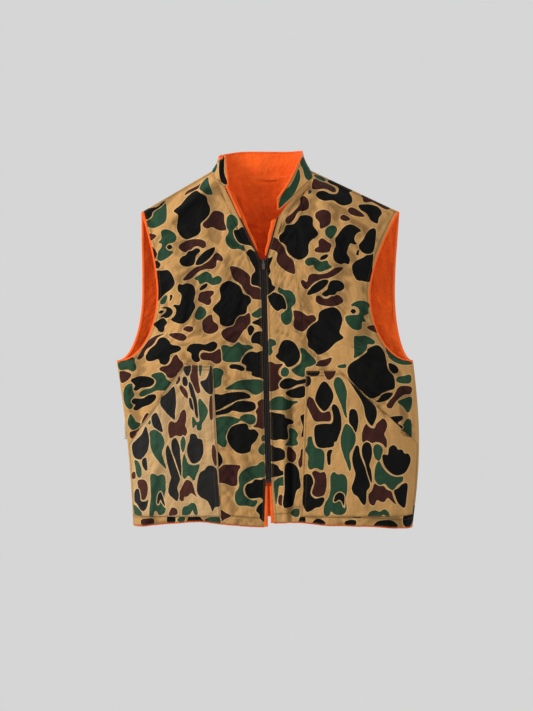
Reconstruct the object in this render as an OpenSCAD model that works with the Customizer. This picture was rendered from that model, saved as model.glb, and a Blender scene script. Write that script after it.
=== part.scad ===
// Reversible hunting vest, hung up: duck-print shell, blaze orange lining, stand collar,
// open armholes, a separating zipper and a slanted patch pocket on each side.
// +Z is up and the front faces -Y. Right and left are the wearer's: right is at -X.
// The origin is the point between the two shoulder seams, where a hanger's neck comes up.
// A pair of values is always [right, left]; a "half" is a distance out from X = 0,
// and a "drop" is a distance down from Z = 0.

/* [Body] */
// Drop to the front hem
front_drop = 690; // [670:1:720]
// Drop to the back hem
back_drop = 678; // [660:1:720]
// Distance of the flat front ahead of the shoulder seams
front_depth = 40; // [34:1:50]
// Distance of the back's middle behind the shoulder seams
back_depth = 38; // [25:1:50]
// Drop to the neck ends of the shoulder seams
neck_drop = 4; // [0:1:8]
// Drop to the tips of the shoulder seams
tip_drop = 84; // [70:1:95]
// Drop to the bottom of the armholes
underarm_drop = 374; // [360:1:380]
// Drop to the narrowest place between the armholes
narrow_drop = 240; // [220:1:260]

/* [Widths] */
// Half width at the neck ends of the shoulder seams
neck_half = [104, 86]; // [80:1:110]
// Half width at the shoulder tips
tip_half = [241, 256]; // [230:1:265]
// Half width of the front between the armholes
chest_half = [209, 198]; // [190:1:215]
// Half width of the back between the armholes
back_half = [241, 249]; // [230:1:260]
// Half width under the arms
underarm_half = [290, 284]; // [275:1:300]
// Half width at the hem
hem_half = [258, 283]; // [250:1:295]
// How far the side seams bow out between underarm and hem
side_bow = [-5, 12]; // [-8:1:15]

/* [Folds] */
// Half width of each front's fold line at the neckline
fold_top_half = [96, 84]; // [80:1:100]
// Drop to the top of the fold lines
fold_top_drop = 28; // [24:1:34]
// Half width of each front's fold line at the hem
fold_hem_half = 225; // [210:1:235]

/* [Zipper] */
// X of the closed chain's top and bottom end
chain_x = [-6, 4]; // [-10:1:10]
// Drop to the closed chain's top end, where the slider rests
chain_top_drop = 186; // [180:1:200]
// Drop to the retainer box under the chain
box_drop = 600; // [560:1:610]
// Spacing of the teeth along one tape
tooth_pitch = 3.2; // [2.8:0.1:4]
// Height of one tooth along the tape
tooth_h = 1.2; // [0.8:0.1:1.3]
// Length of the slider
slider_len = 14; // [12:1:16]
// Length of the pull tab
pull_len = 16; // [12:1:24]

/* [Pockets] */
// Half width of each pocket's inner top corner
pocket_top_half = [102, 75]; // [70:1:110]
// Half width of each pocket's inner bottom corner
pocket_foot_half = [86, 64]; // [60:1:95]
// Half width where each slanted mouth starts
mouth_half = [157, 138]; // [130:1:158]
// Drop to the top of the pockets
pocket_drop = [380, 391]; // [375:1:400]
// Drop to the bottom of the pockets
pocket_foot_drop = 668; // [650:1:675]
// Half width where each mouth meets the side seam
mouth_end_half = [263, 280]; // [255:1:285]
// Drop where each mouth meets the side seam
mouth_end_drop = 532; // [520:1:545]
// Slack between pocket and front
pocket_room = 5.5; // [5:0.1:6]

/* [Collar] */
// Height of the collar's top edge above the origin at the back
collar_top = 38; // [30:1:45]
// Distance of the collar behind the shoulder seams at the back
collar_depth = 32; // [25:1:36]

/* [Hidden] */

cloth = 1.0;          // thickness of shell and lining
ply_gap = 0.4;        // air between the two plies
seam_gap = 0.8;       // half of the air left between panels that meet at a seam
fold_gap = 0.4;       // half of the air left along a fold line
armhole_open = 14;    // how far front and back part at the middle of an armhole
back_neck_dip = 6;    // how far the back neckline dips between the shoulder seams

lining_y = -front_depth;
shell_y = lining_y - cloth - ply_gap;
face_y = shell_y - cloth;
tape_y = lining_y - cloth - ply_gap / 2;

edge_half = 5.5;      // half the slot left between the two shells along the chain
tape_w = 14;          // width of one tape beyond its teeth
opening_w = 9;        // distance from the shell's edge to the teeth at the top of the neck opening
facing_w = 3.6;       // width of the orange edge turned out between shell and teeth there
tip_half_gap = 0.7;   // half the slot between the two rows of teeth
tooth_len = 1.7;      // length of a tooth inside its bead
bead_w = 1.0;         // width of the bead that carries the teeth
tooth_depth = 2.6;    // size of the teeth from front to back
neck_end = [[-84, -41], [28, -97]];     // front ends of the neckline, X and Z
hem_end = [[-4, -front_drop], [15, -front_drop]];   // lower corners of the front edges

arm_rows = 8;
side_rows = 6;
side_cols = 7;
back_cols = 4;

function mix(a, b, t) = a + (b - a) * t;
function ease(t) = t * t * (3 - 2 * t);
function clamp(t) = min(1, max(0, t));
function sign_of(k) = k == 0 ? -1 : 1;

// ---- outline of the garment -------------------------------------------------------

// Half width at a drop on the armhole, whose narrowest half width is given.
function armhole_half(k, drop, narrow) =
    drop < narrow_drop
    ? narrow + (tip_half[k] - narrow) * pow(clamp((narrow_drop - drop) / (narrow_drop - tip_drop)), 1.6)
    : narrow + (underarm_half[k] - narrow)
        * (1 - sqrt(1 - pow(clamp((drop - narrow_drop) / (underarm_drop - narrow_drop)), 2)));

// Half width at a drop on the side seam.
function side_half(k, drop) =
    let (t = clamp((drop - underarm_drop) / (front_drop - underarm_drop)))
    mix(underarm_half[k], hem_half[k], t) + side_bow[k] * sin(180 * t);

function outer_half(k, drop, narrow) =
    drop < underarm_drop ? armhole_half(k, drop, narrow) : side_half(k, drop);

// Drops of the rows at the outer edge: close together towards the armhole's bottom.
function row_drops(hem) = concat(
    [for (i = [0:arm_rows]) mix(tip_drop, underarm_drop, sin(90 * i / arm_rows))],
    [for (i = [1:side_rows]) mix(underarm_drop, hem, i / side_rows)]
);

// How far an armhole's edge stands away from the seam plane.
function armhole_stand(drop) =
    drop > underarm_drop ? 0
    : armhole_open * sin(180 * clamp((drop - tip_drop) / (underarm_drop - tip_drop)));

// Half width of the fold line at a drop.
function fold_half(k, drop) =
    mix(fold_top_half[k], fold_hem_half, (drop - fold_top_drop) / (front_drop - fold_top_drop));

// ---- sheets -----------------------------------------------------------------------

function flat(rows) = [for (row = rows) for (p = row) p];
function shifted(rows, dy) = [for (row = rows) [for (p = row) p + [0, dy, 0]]];

// Closed solid between two grids of points; the first grid is the face that looks to -Y
// when its rows run down and its columns run to +X.
module slab(front, back) {
    n = len(front);
    m = len(front[0]);
    q = n * m;
    function quad(a, b, c, d) = [[a, b, c], [a, c, d]];
    faces = concat(
        [for (i = [0:n - 2]) for (j = [0:m - 2]) each
            quad(i * m + j, i * m + j + 1, (i + 1) * m + j + 1, (i + 1) * m + j)],
        [for (i = [0:n - 2]) for (j = [0:m - 2]) each
            quad(q + i * m + j, q + (i + 1) * m + j, q + (i + 1) * m + j + 1, q + i * m + j + 1)],
        [for (j = [0:m - 2]) each quad(q + j, q + j + 1, j + 1, j)],
        [for (j = [0:m - 2]) each
            quad((n - 1) * m + j, (n - 1) * m + j + 1, q + (n - 1) * m + j + 1, q + (n - 1) * m + j)],
        [for (i = [0:n - 2]) each quad(i * m, (i + 1) * m, q + (i + 1) * m, q + i * m)],
        [for (i = [0:n - 2]) each
            quad(q + i * m + m - 1, q + (i + 1) * m + m - 1, (i + 1) * m + m - 1, i * m + m - 1)]
    );
    polyhedron(concat(flat(front), flat(back)), faces);
}

// Plate in the plane of the flat front, between two values of Y.
module plate(points, y_front, y_back) {
    translate([0, y_back, 0]) rotate([90, 0, 0]) linear_extrude(y_back - y_front) polygon(points);
}

// ---- back -------------------------------------------------------------------------

function back_columns(k) =
    let (un = neck_half[k] / tip_half[k])
    concat(
        [for (j = [0:back_cols]) un * sin(90 * j / back_cols)],
        [for (j = [1:back_cols]) mix(un, 1, j / back_cols)]
    );

function back_top_drop(k, half) =
    half > neck_half[k]
    ? mix(neck_drop, tip_drop, (half - neck_half[k]) / (tip_half[k] - neck_half[k]))
    : neck_drop + back_neck_dip * (1 - pow(half / neck_half[k], 2));

function back_point(k, drop, u) =
    let (
        f = (drop - tip_drop) / (back_drop - tip_drop),
        top_half = u * tip_half[k],
        edge_y = seam_gap + armhole_stand(drop),
        neck_y = seam_gap + collar_depth * sqrt(clamp(1 - pow(top_half / neck_half[k], 2))),
        body_y = mix(edge_y, back_depth, 1 - pow(u, 3))
    )
    [
        sign_of(k) * u * outer_half(k, drop, back_half[k]),
        mix(neck_y, body_y, ease(clamp(5 * f))),
        -mix(back_top_drop(k, top_half), back_drop, f)
    ];

// Columns run from +X to -X, because this sheet looks to +Y.
back_grid = [
    for (drop = row_drops(back_drop)) concat(
        [for (j = [2 * back_cols:-1:1]) back_point(1, drop, back_columns(1)[j])],
        [for (j = [0:2 * back_cols]) back_point(0, drop, back_columns(0)[j])]
    )
];

module back_shell() {
    color("darkkhaki") slab(shifted(back_grid, 2 * cloth + ply_gap), shifted(back_grid, cloth + ply_gap));
}

module back_lining() {
    color("orangered") slab(shifted(back_grid, cloth), back_grid);
}

// ---- fixed outer part of each front -------------------------------------------------

// Point of the outer part: i counts rows down, s runs from 0 at the fold to 1 at the edge.
function side_point(k, i, s) =
    let (
        drops = row_drops(front_drop),
        drop = drops[i],
        inner_drop = i == 0 ? neck_drop
            : drop >= underarm_drop ? drop
            : mix(fold_top_drop, underarm_drop, (drop - drops[1]) / (underarm_drop - drops[1])),
        inner_half = i == 0 ? neck_half[k] : fold_half(k, inner_drop) + fold_gap,
        edge_y = -seam_gap - armhole_stand(drop),
        inner_y = i == 0 ? edge_y : lining_y + cloth
    )
    [
        sign_of(k) * mix(inner_half, outer_half(k, drop, chest_half[k]), s),
        mix(edge_y, inner_y, 1 - s * s),
        -mix(inner_drop, drop, s)
    ];

// Columns run to +X on both sides.
function side_grid(k) = [
    for (i = [0:arm_rows + side_rows])
        [for (j = [0:side_cols - 1]) side_point(k, i, (k == 0 ? side_cols - 1 - j : j) / (side_cols - 1))]
];

module side_shell(k) {
    grid = shifted(side_grid(k), -2 * cloth - ply_gap);
    color("tan") slab(shifted(grid, -cloth), grid);
}

module side_lining(k) {
    color("orangered") slab(shifted(side_grid(k), -2 * cloth), shifted(side_grid(k), -cloth));
}

// ---- opening part of each front -------------------------------------------------------

// X of the chain at a drop.
function chain_at(drop) =
    mix(chain_x[0], chain_x[1], (drop - chain_top_drop) / (box_drop - chain_top_drop));

// Points down the front edge, from the neckline to the hem.
function front_edge(k) = [
    neck_end[k],
    [chain_at(chain_top_drop) + sign_of(k) * edge_half, -chain_top_drop],
    [chain_at(box_drop) + sign_of(k) * edge_half, -box_drop - 6],
    hem_end[k]
];

function front_outline(k) = concat(
    [[sign_of(k) * (fold_half(k, fold_top_drop) - fold_gap), -fold_top_drop]],
    front_edge(k),
    [[sign_of(k) * (fold_hem_half - fold_gap), -front_drop]]
);

module front_shell(k) {
    color("tan") plate(front_outline(k), face_y, shell_y);
}

module front_lining(k) {
    color("orangered") plate(front_outline(k), lining_y - cloth, lining_y);
}

// The turned-out orange edge beside the neck opening and below the zipper.
module front_facing(k) {
    side = [-sign_of(k), 0];
    edge = front_edge(k);
    neck_foot = mix(edge[1], edge[0], 0.12);
    slit_top = edge[2] - [0, 4];
    color("orange") {
        plate([edge[0], edge[0] + facing_w * side, neck_foot + 0.8 * side, neck_foot], face_y, tape_y - 0.3);
        plate([slit_top, slit_top + 3 * side, hem_end[k] + 6 * side, hem_end[k]], face_y, lining_y);
    }
}

// ---- collar -----------------------------------------------------------------------

// Base and top edge of the collar from the right front end round the back to the left
// front end, as points [X, Y, Z]. The third and the third last lie on the fold lines.
collar_y = face_y - 0.4;
collar_base = [
    [-72, collar_y, -40], [-84, collar_y, -35], [-fold_top_half[0], collar_y, -fold_top_drop],
    [-neck_half[0], -6, -2], [-86, 20, -2], [-45, collar_depth, -9],
    [40, collar_depth, -9], [72, 20, -2], [neck_half[1] - 2, -6, -2],
    [fold_top_half[1], collar_y, -fold_top_drop], [56, collar_y, -56], [22, collar_y, -84]
];
collar_rim = [
    [-78, collar_y - 2, 18], [-83, collar_y - 2, 15], [-86, collar_y, 10],
    [-90, -6, 22], [-78, 24, 31], [-43, collar_depth + 5, collar_top],
    [38, collar_depth + 5, collar_top], [62, 24, 37], [68, -6, 30],
    [62, collar_y, 7], [43, collar_y - 12, -33], [21, collar_y - 6, -66]
];
collar_fold = [2, 9];
collar_parts = [
    [0, collar_fold[0] - 0.05], [collar_fold[0] + 0.05, collar_fold[1] - 0.05],
    [collar_fold[1] + 0.05, len(collar_base) - 1]
];

// Point of a smooth curve through a list, at a position counted in list places.
function along(list, t) =
    let (
        i = min(len(list) - 2, floor(t)),
        f = t - i,
        a = list[max(0, i - 1)],
        b = list[i],
        c = list[i + 1],
        d = list[min(len(list) - 1, i + 2)]
    )
    0.5 * (2 * b + (c - a) * f + (2 * a - 5 * b + 4 * c - d) * f * f + (3 * b - a - 3 * c + d) * f * f * f);

// Horizontal direction out of the collar at a position.
function collar_out(t) =
    let (
        ahead = along(collar_base, min(len(collar_base) - 1, t + 0.1)),
        behind = along(collar_base, max(0, t - 0.1)),
        run = ahead - behind,
        size = norm([run.x, run.y])
    )
    [-run.y / size, run.x / size, 0];

// Collar ply of one part (0 right, 1 back, 2 left), at a distance out from its inner face.
module collar_ply(part, out) {
    a = collar_parts[part][0];
    b = collar_parts[part][1];
    steps = 3 * (b - a);
    grid = function (away) [
        for (h = [1:-0.5:0])
            [for (i = [0:steps])
                let (t = mix(a, b, i / steps))
                mix(along(collar_base, t) + [0, 0, 1], along(collar_rim, t), h) + away * collar_out(t)]
    ];
    slab(grid(out + cloth), grid(out));
}

module collar_shell(part) {
    color("tan") collar_ply(part, cloth + ply_gap);
}

module collar_lining(part) {
    color("orangered") collar_ply(part, 0);
}

// ---- pockets ----------------------------------------------------------------------

pocket_back_y = face_y - 0.3;
pocket_face_y = pocket_back_y - pocket_room - cloth;
rim_w = 2;      // width of a pocket's sewn edge

// Half width of the slanted mouth at a drop.
function mouth_at(k, drop) =
    mix(mouth_half[k], mouth_end_half[k], (drop - pocket_drop[k]) / (mouth_end_drop - pocket_drop[k]));

// Drop where the mouth crosses the fold line.
function mouth_cross(k) =
    let (
        mouth_slope = (mouth_end_half[k] - mouth_half[k]) / (mouth_end_drop - pocket_drop[k]),
        fold_slope = (fold_hem_half - fold_top_half[k]) / (front_drop - fold_top_drop)
    )
    pocket_drop[k] + (fold_half(k, pocket_drop[k]) - mouth_half[k]) / (mouth_slope - fold_slope);

// Outline of a pocket's inner part, pulled in from its sewn edges by a margin.
function pocket_outline(k, margin) =
    let (s = sign_of(k), open = margin > 0 ? -20 : fold_gap)
    [
        [s * (mouth_half[k] - open), -pocket_drop[k] - margin],
        [s * (fold_half(k, mouth_cross(k)) - open), -mouth_cross(k) + (margin > 0 ? 20 : 0)],
        [s * (fold_half(k, pocket_foot_drop) - open), -pocket_foot_drop + margin],
        [s * (pocket_foot_half[k] + margin), -pocket_foot_drop + margin],
        [s * (pocket_top_half[k] + margin), -pocket_drop[k] - margin]
    ];

module pocket(k) {
    color("peru") difference() {
        plate(pocket_outline(k, 0), pocket_face_y, pocket_back_y);
        plate(pocket_outline(k, rim_w), pocket_face_y + cloth, pocket_back_y + 1);
    }
}

// A pocket's outer part follows the curved side of the front.
function pocket_side_point(k, drop, s, depth) =
    let (
        inner = fold_half(k, drop) + fold_gap,
        seam = side_half(k, drop),
        outer = min(mouth_at(k, drop), seam - 3),
        half = mix(inner, outer, s),
        w = (half - inner) / (seam - inner),
        y = mix(-seam_gap, lining_y + cloth, 1 - w * w)
    )
    [sign_of(k) * half, y - 3 * cloth - ply_gap - 0.3 - pocket_room * (1 - pow(w, 4)) - depth, -drop];

function pocket_side_grid(k, depth) = [
    for (i = [0:8])
        let (drop = mix(mouth_cross(k) + 10, pocket_foot_drop, i / 8))
        [for (j = [0:4]) pocket_side_point(k, drop, (k == 0 ? 4 - j : j) / 4, depth)]
];

module pocket_side(k) {
    color("peru") slab(pocket_side_grid(k, cloth), pocket_side_grid(k, 0));
}

// ---- zipper -----------------------------------------------------------------------

slider_half = 4.9;
channel_half = tooth_depth / 2 + 0.4;
slider_wall = 1.1;
wing_clear = 9;       // length of the neck opening's edge left bare above the slider
bead_half = tip_half_gap + tooth_len + bead_w;
chain_slope = atan2(chain_x[0] - chain_x[1], box_drop - chain_top_drop);

// Frame whose +Z runs up the closed chain from the middle of the slider.
module chain_frame() {
    translate([chain_at(chain_top_drop), tape_y, -chain_top_drop]) rotate([0, chain_slope, 0]) children();
}

// Frame whose +Z runs up one side of the neck opening.
function wing_foot(k) = [chain_at(chain_top_drop) + sign_of(k) * edge_half / 5, -chain_top_drop];
function wing_head(k) = neck_end[k] - [sign_of(k) * opening_w, 3];
function wing_len(k) = norm(wing_head(k) - wing_foot(k));
module wing_frame(k) {
    run = wing_head(k) - wing_foot(k);
    translate([wing_foot(k).x, tape_y, wing_foot(k).y]) rotate([0, atan2(run.x, run.y), 0]) children();
}

// Row of teeth on their bead, from z = 0 up, with the teeth pointing to -X for side 1.
module comb(k, size, shift) {
    s = sign_of(k);
    count = floor((size - shift) / tooth_pitch);
    root = s * (tip_half_gap + tooth_len);
    teeth = [
        for (j = [count - 1:-1:0])
            let (z = shift + j * tooth_pitch)
            each [[root, z + tooth_h], [s * tip_half_gap, z + tooth_h], [s * tip_half_gap, z], [root, z]]
    ];
    rotate([90, 0, 0]) linear_extrude(tooth_depth, center = true)
        polygon(concat([[root, 0], [s * bead_half, 0], [s * bead_half, size], [root, size]], teeth));
}

chain_start = slider_len / 2 + 1.5;
chain_len = box_drop - chain_top_drop - chain_start - 17;

module zipper_teeth(k) {
    color("dimgray") {
        chain_frame() translate([0, 0, -chain_start - chain_len]) comb(k, chain_len, k * tooth_pitch / 2);
        wing_frame(k) translate([0, 0, wing_clear + 5]) comb(k, wing_len(k) - wing_clear - 11, 0);
    }
}

module tape_strip(k, low, high) {
    s = sign_of(k);
    rotate([90, 0, 0]) linear_extrude(0.3, center = true)
        polygon([
            [s * bead_half, low], [s * (bead_half + tape_w), low],
            [s * (bead_half + tape_w), high], [s * bead_half, high]
        ]);
}

module zipper_tape(k) {
    color("black") {
        chain_frame() tape_strip(k, -chain_start - chain_len - pin_len - 0.5, -chain_start);
        wing_frame(k) tape_strip(k, wing_clear + 14, wing_len(k) - 1);
    }
}

module top_stop(k) {
    stop_half = 1.4;
    stop_x = sign_of(k) * (bead_half - stop_half);
    color("dimgray") wing_frame(k)
        translate([stop_x - stop_half, -tooth_depth / 2, wing_len(k) - 5.5])
            cube([2 * stop_half, tooth_depth, 4]);
}

// Two plates with side flanges, joined by a thin post between the rows of teeth.
module slider_body() {
    half_len = slider_len / 2;
    outline = [
        [-slider_half, half_len - 2], [-slider_half + 1, half_len], [slider_half - 1, half_len],
        [slider_half, half_len - 2], [slider_half - 0.6, -half_len], [-slider_half + 0.6, -half_len]
    ];
    color("gray") chain_frame() {
        for (side = [-1, 1]) {
            translate([0, side * (channel_half + slider_wall / 2), 0])
                rotate([90, 0, 0]) linear_extrude(slider_wall, center = true) polygon(outline);
            for (flank = [-1, 1])
                translate([flank * (slider_half - 0.9) - 0.3, side * (channel_half - 0.4) - 0.4, -half_len])
                    cube([0.6, 0.8, slider_len - 3]);
        }
        translate([-0.4, -channel_half - 0.1, 1]) cube([0.8, 2 * channel_half + 0.2, 5]);
    }
}

bail_y = -channel_half - slider_wall - 2.6;
bail_z = 3;
bail_r = 0.6;
pull_hole_r = bail_r + 0.15;

// Loop on the slider's face that carries the pull.
module slider_bail() {
    color("silver") chain_frame() {
        translate([-3.2, bail_y, bail_z]) rotate([0, 90, 0]) cylinder(h = 6.4, r = bail_r, $fn = 24);
        for (side = [-1, 1])
            translate([side * 2.6 - 0.6, bail_y - 0.6, bail_z - 1]) cube([1.2, 3.2, 2]);
    }
}

module zipper_pull() {
    color("silver") chain_frame() translate([0, bail_y, bail_z]) difference() {
        union() {
            translate([-1.5, 0, 0]) rotate([0, 90, 0]) cylinder(h = 3, r = 1.7, $fn = 32);
            translate([-1.5, -0.6, -5]) cube([3, 1.2, 4]);
            translate([0, 0.6, 0]) rotate([90, 0, 0]) linear_extrude(1.2)
                polygon([
                    [-1.5, -4], [1.5, -4], [2.8, -6], [2.8, 1.5 - pull_len],
                    [1.8, -pull_len], [-1.8, -pull_len], [-2.8, 1.5 - pull_len], [-2.8, -6]
                ]);
        }
        translate([-2, 0, 0]) rotate([0, 90, 0]) cylinder(h = 4, r = pull_hole_r, $fn = 32);
        translate([0, 1, -pull_len + 3.2]) rotate([90, 0, 0]) cylinder(h = 2, r = 1.2, $fn = 32);
    }
}

box_top = chain_top_drop - box_drop + 4;
pin_r = 0.8;
pin_x = bead_half - pin_r;
pin_len = 12;

// Socket block at the foot of the right tape, with a blind hole for the left tape's pin.
module retainer_box() {
    color("dimgray") chain_frame() difference() {
        translate([-4.2, -2.2, box_top - 8]) cube([8.4, 4.4, 8]);
        translate([pin_x, 0, box_top - 5]) cylinder(h = 6, r = pin_r + 0.2, $fn = 32);
    }
}

module retainer_pin() {
    color("dimgray") chain_frame()
        translate([-pin_x, 0, box_top]) cylinder(h = pin_len - 1, r = pin_r, $fn = 32);
}

// Its tip stays just above the socket, so that the left front can swing clear.
module insertion_pin() {
    color("dimgray") chain_frame()
        translate([pin_x, 0, box_top + 0.5]) cylinder(h = pin_len - 1.5, r = pin_r, $fn = 32);
}

// ---- label ------------------------------------------------------------------------

// Blank folded tab caught in the right side seam.
module side_label() {
    color("white") translate([-side_half(0, 505) - 5, -0.4, -524]) cube([6, 0.8, 38]);
}

back_shell();
back_lining();
side_shell(0);  // right_side_shell
side_lining(0);  // right_side_lining
side_shell(1);  // left_side_shell
side_lining(1);  // left_side_lining
front_shell(0);  // right_front_shell
front_lining(0);  // right_front_lining
front_shell(1);  // left_front_shell
front_lining(1);  // left_front_lining
front_facing(0);  // right_front_facing
front_facing(1);  // left_front_facing
collar_shell(1);  // collar_back_shell
collar_lining(1);  // collar_back_lining
collar_shell(0);  // right_collar_shell
collar_lining(0);  // right_collar_lining
collar_shell(2);  // left_collar_shell
collar_lining(2);  // left_collar_lining
pocket(0);  // right_pocket
pocket_side(0);  // right_pocket_side
pocket(1);  // left_pocket
pocket_side(1);  // left_pocket_side
zipper_tape(0);  // right_zipper_tape
zipper_tape(1);  // left_zipper_tape
zipper_teeth(0);  // right_zipper_teeth
zipper_teeth(1);  // left_zipper_teeth
top_stop(0);  // right_top_stop
top_stop(1);  // left_top_stop
slider_body();
slider_bail();
zipper_pull();
retainer_box();
retainer_pin();
insertion_pin();
side_label();
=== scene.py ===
"""Looks of the reversible hunting vest: printed cotton outside, blaze orange lining inside.

Lengths are in millimetres until a mesh is made. Right and left are the wearer's, right is at -X,
and a pair of values is always [right, left]. A "half" is a distance out from X = 0 and a "drop"
is a distance down from Z = 0, as in the CAD source.
"""

import math

import bmesh
import bpy
import numpy as np
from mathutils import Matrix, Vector
from mathutils.bvhtree import BVHTree


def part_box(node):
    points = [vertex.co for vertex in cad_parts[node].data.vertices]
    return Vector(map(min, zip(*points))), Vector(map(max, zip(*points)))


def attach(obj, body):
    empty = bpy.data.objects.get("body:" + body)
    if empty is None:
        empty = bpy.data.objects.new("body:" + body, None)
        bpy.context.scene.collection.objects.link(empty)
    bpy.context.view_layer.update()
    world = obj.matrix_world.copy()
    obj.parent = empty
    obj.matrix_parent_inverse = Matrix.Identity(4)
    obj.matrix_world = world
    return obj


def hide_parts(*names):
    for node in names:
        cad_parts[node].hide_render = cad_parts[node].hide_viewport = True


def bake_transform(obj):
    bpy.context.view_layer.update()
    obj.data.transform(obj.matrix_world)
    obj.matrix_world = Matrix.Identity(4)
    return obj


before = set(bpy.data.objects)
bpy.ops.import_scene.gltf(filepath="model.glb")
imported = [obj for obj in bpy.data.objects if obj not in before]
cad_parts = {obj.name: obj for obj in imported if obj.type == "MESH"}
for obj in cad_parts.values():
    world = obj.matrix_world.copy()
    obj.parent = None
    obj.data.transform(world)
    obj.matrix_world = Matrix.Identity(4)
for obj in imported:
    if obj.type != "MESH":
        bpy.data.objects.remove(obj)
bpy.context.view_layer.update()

RIGHT, LEFT = 0, 1
SIDE = ["right", "left"]
SIGN = [-1, 1]

# ---- sizes, the same as in the CAD source --------------------------------------------------------

BACK_DROP = 678
NECK_DROP = 4
TIP_DROP = 84
UNDERARM_DROP = 374
NARROW_DROP = 240
BACK_DEPTH = 38
NECK_HALF = [104, 86]
TIP_HALF = [241, 256]
CHEST_HALF = [209, 198]
BACK_HALF = [241, 249]
UNDERARM_HALF = [290, 284]
HEM_HALF = [258, 283]
SIDE_BOW = [-5, 12]
FRONT_DROP = 690
FOLD_TOP_HALF = [96, 84]
FOLD_TOP_DROP = 28
FOLD_HEM_HALF = 225
CHAIN_X = [-6, 4]
CHAIN_TOP_DROP = 186
CLOSED_DROP = 198       # the rows of teeth are fully together from here down
BOX_DROP = 600
POCKET_TOP_HALF = [102, 75]
POCKET_FOOT_HALF = [86, 64]
POCKET_DROP = [380, 391]
POCKET_FOOT_DROP = 668
MOUTH_HALF = [157, 138]
MOUTH_END_HALF = [263, 280]
MOUTH_END_DROP = 532
NECK_END = [(-84, -41), (28, -97)]
NECK_EDGE = [(-79.8, -41), (23.8, -97)]     # where the shell's edge meets the teeth at the top
HEM_END = [(-4, -686), (15, -679)]
EDGE_HALF = 5.5
ARMHOLE_OPEN = 14
BACK_NECK_DIP = 6
COLLAR_DEPTH = 32
SEAM_GAP = 0.8
TAPE_Y = -41.2

# ---- sizes of the cloth --------------------------------------------------------------------------

PLY = 0.9                # thickness of one ply of cloth
INNER_Y = -39            # depth of the flat front, behind both plies
SHELL_OUT = 3.4          # how far the shell's face lies ahead of that depth
LINING_OUT = 2.0         # how far the lining's outer face lies ahead of it
HEM_PEEK = 2.5           # how far the lining shows below the hems
ROWS_ARM = 108           # rows of cloth squares beside the armhole
ROWS_SIDE = 108          # rows of cloth squares beside the side seam
COLS = 90                # columns of cloth squares from the zipper to the side
COARSE = 3               # squares of the shown cloth along one square of the simulated cloth
SEAM_REACH = 8           # width of the strip in which two panels come together at a seam
SPARE_CLOTH = 0.02       # how much longer the cloth is than the shape it is hung on
DRAPE_FRAMES = 36        # frames that the cloth is given to settle
HEM_STITCH = 16          # distance of the hem's stitching from the lower edge
ARMHOLE_STITCH = 7       # and of the armhole's from its edge
EDGE_STITCH = 4          # and of the stitching along the zipper and the shoulder seam
NECK_COLS = [15, 33]     # columns of a front that end at the neck
BACK_NECK_COLS = 36      # columns of half the back that do

# Lower edges of the fronts, from the zipper to the side seam, as X and Z.
FRONT_HEM = [
    [(-4, -686), (-30, -685), (-79, -681), (-128, -676), (-175, -679), (-225, -684), (-258, -688)],
    [(15, -679), (40, -678), (70, -678), (120, -683), (200, -686), (245, -690), (283, -692)],
]

# Soft folds that hang in the fronts, as [x, z, x, z, half width, height].
HANGING_FOLDS = [
    [
        [-60, -330, -46, -660, 10, 3.6],
        [-200, -110, -160, -350, 14, 4.4],
        [-165, -90, -120, -330, 11, -3.0],
        [-128, -60, -112, -210, 12, 3.4],
        [-70, -80, -95, -250, 10, 2.8],
        [-232, -420, -215, -640, 13, 4.0],
        [-262, -400, -246, -560, 10, -3.0],
        [-30, -220, -75, -350, 10, -2.6],
    ],
    [
        [28, -385, 32, -690, 7, 8.0],
        [42, -385, 44, -690, 6, -9.0],
        [200, -120, 150, -340, 14, 4.2],
        [165, -95, 118, -320, 11, -3.0],
        [120, -60, 100, -220, 12, 3.2],
        [60, -90, 88, -240, 10, 2.8],
        [245, -440, 238, -650, 13, 4.2],
        [268, -400, 262, -560, 10, -3.0],
        [30, -240, 85, -370, 10, -2.6],
    ],
]

# Seam line and upper edge of the collar, from the right front end round the back to the left.
COLLAR_Y = -42.8
COLLAR_BASE = [
    (-72, COLLAR_Y, -40), (-84, COLLAR_Y, -35), (-96, COLLAR_Y, -28), (-104, -6, -2),
    (-86, 20, -2), (-45, 32, -9), (40, 32, -9), (72, 20, -2), (84, -6, -2),
    (84, COLLAR_Y, -28), (56, COLLAR_Y, -56), (22, COLLAR_Y, -84),
]
COLLAR_RIM = [
    (-78, COLLAR_Y - 2, 18), (-83, COLLAR_Y - 2, 15), (-86, COLLAR_Y, 10), (-90, -6, 22),
    (-78, 24, 31), (-43, 37, 38), (38, 37, 38), (62, 24, 37), (68, -6, 30),
    (62, COLLAR_Y, 7), (43, COLLAR_Y - 12, -33), (21, COLLAR_Y - 6, -66),
]

# ---- printed shapes ------------------------------------------------------------------------------
# Drawn outlines of the print's patches in centimetres, X to the right and Z up as the front
# is seen. The chest's shapes come twice on the cloth: the second time turned, on the left front.

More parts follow.
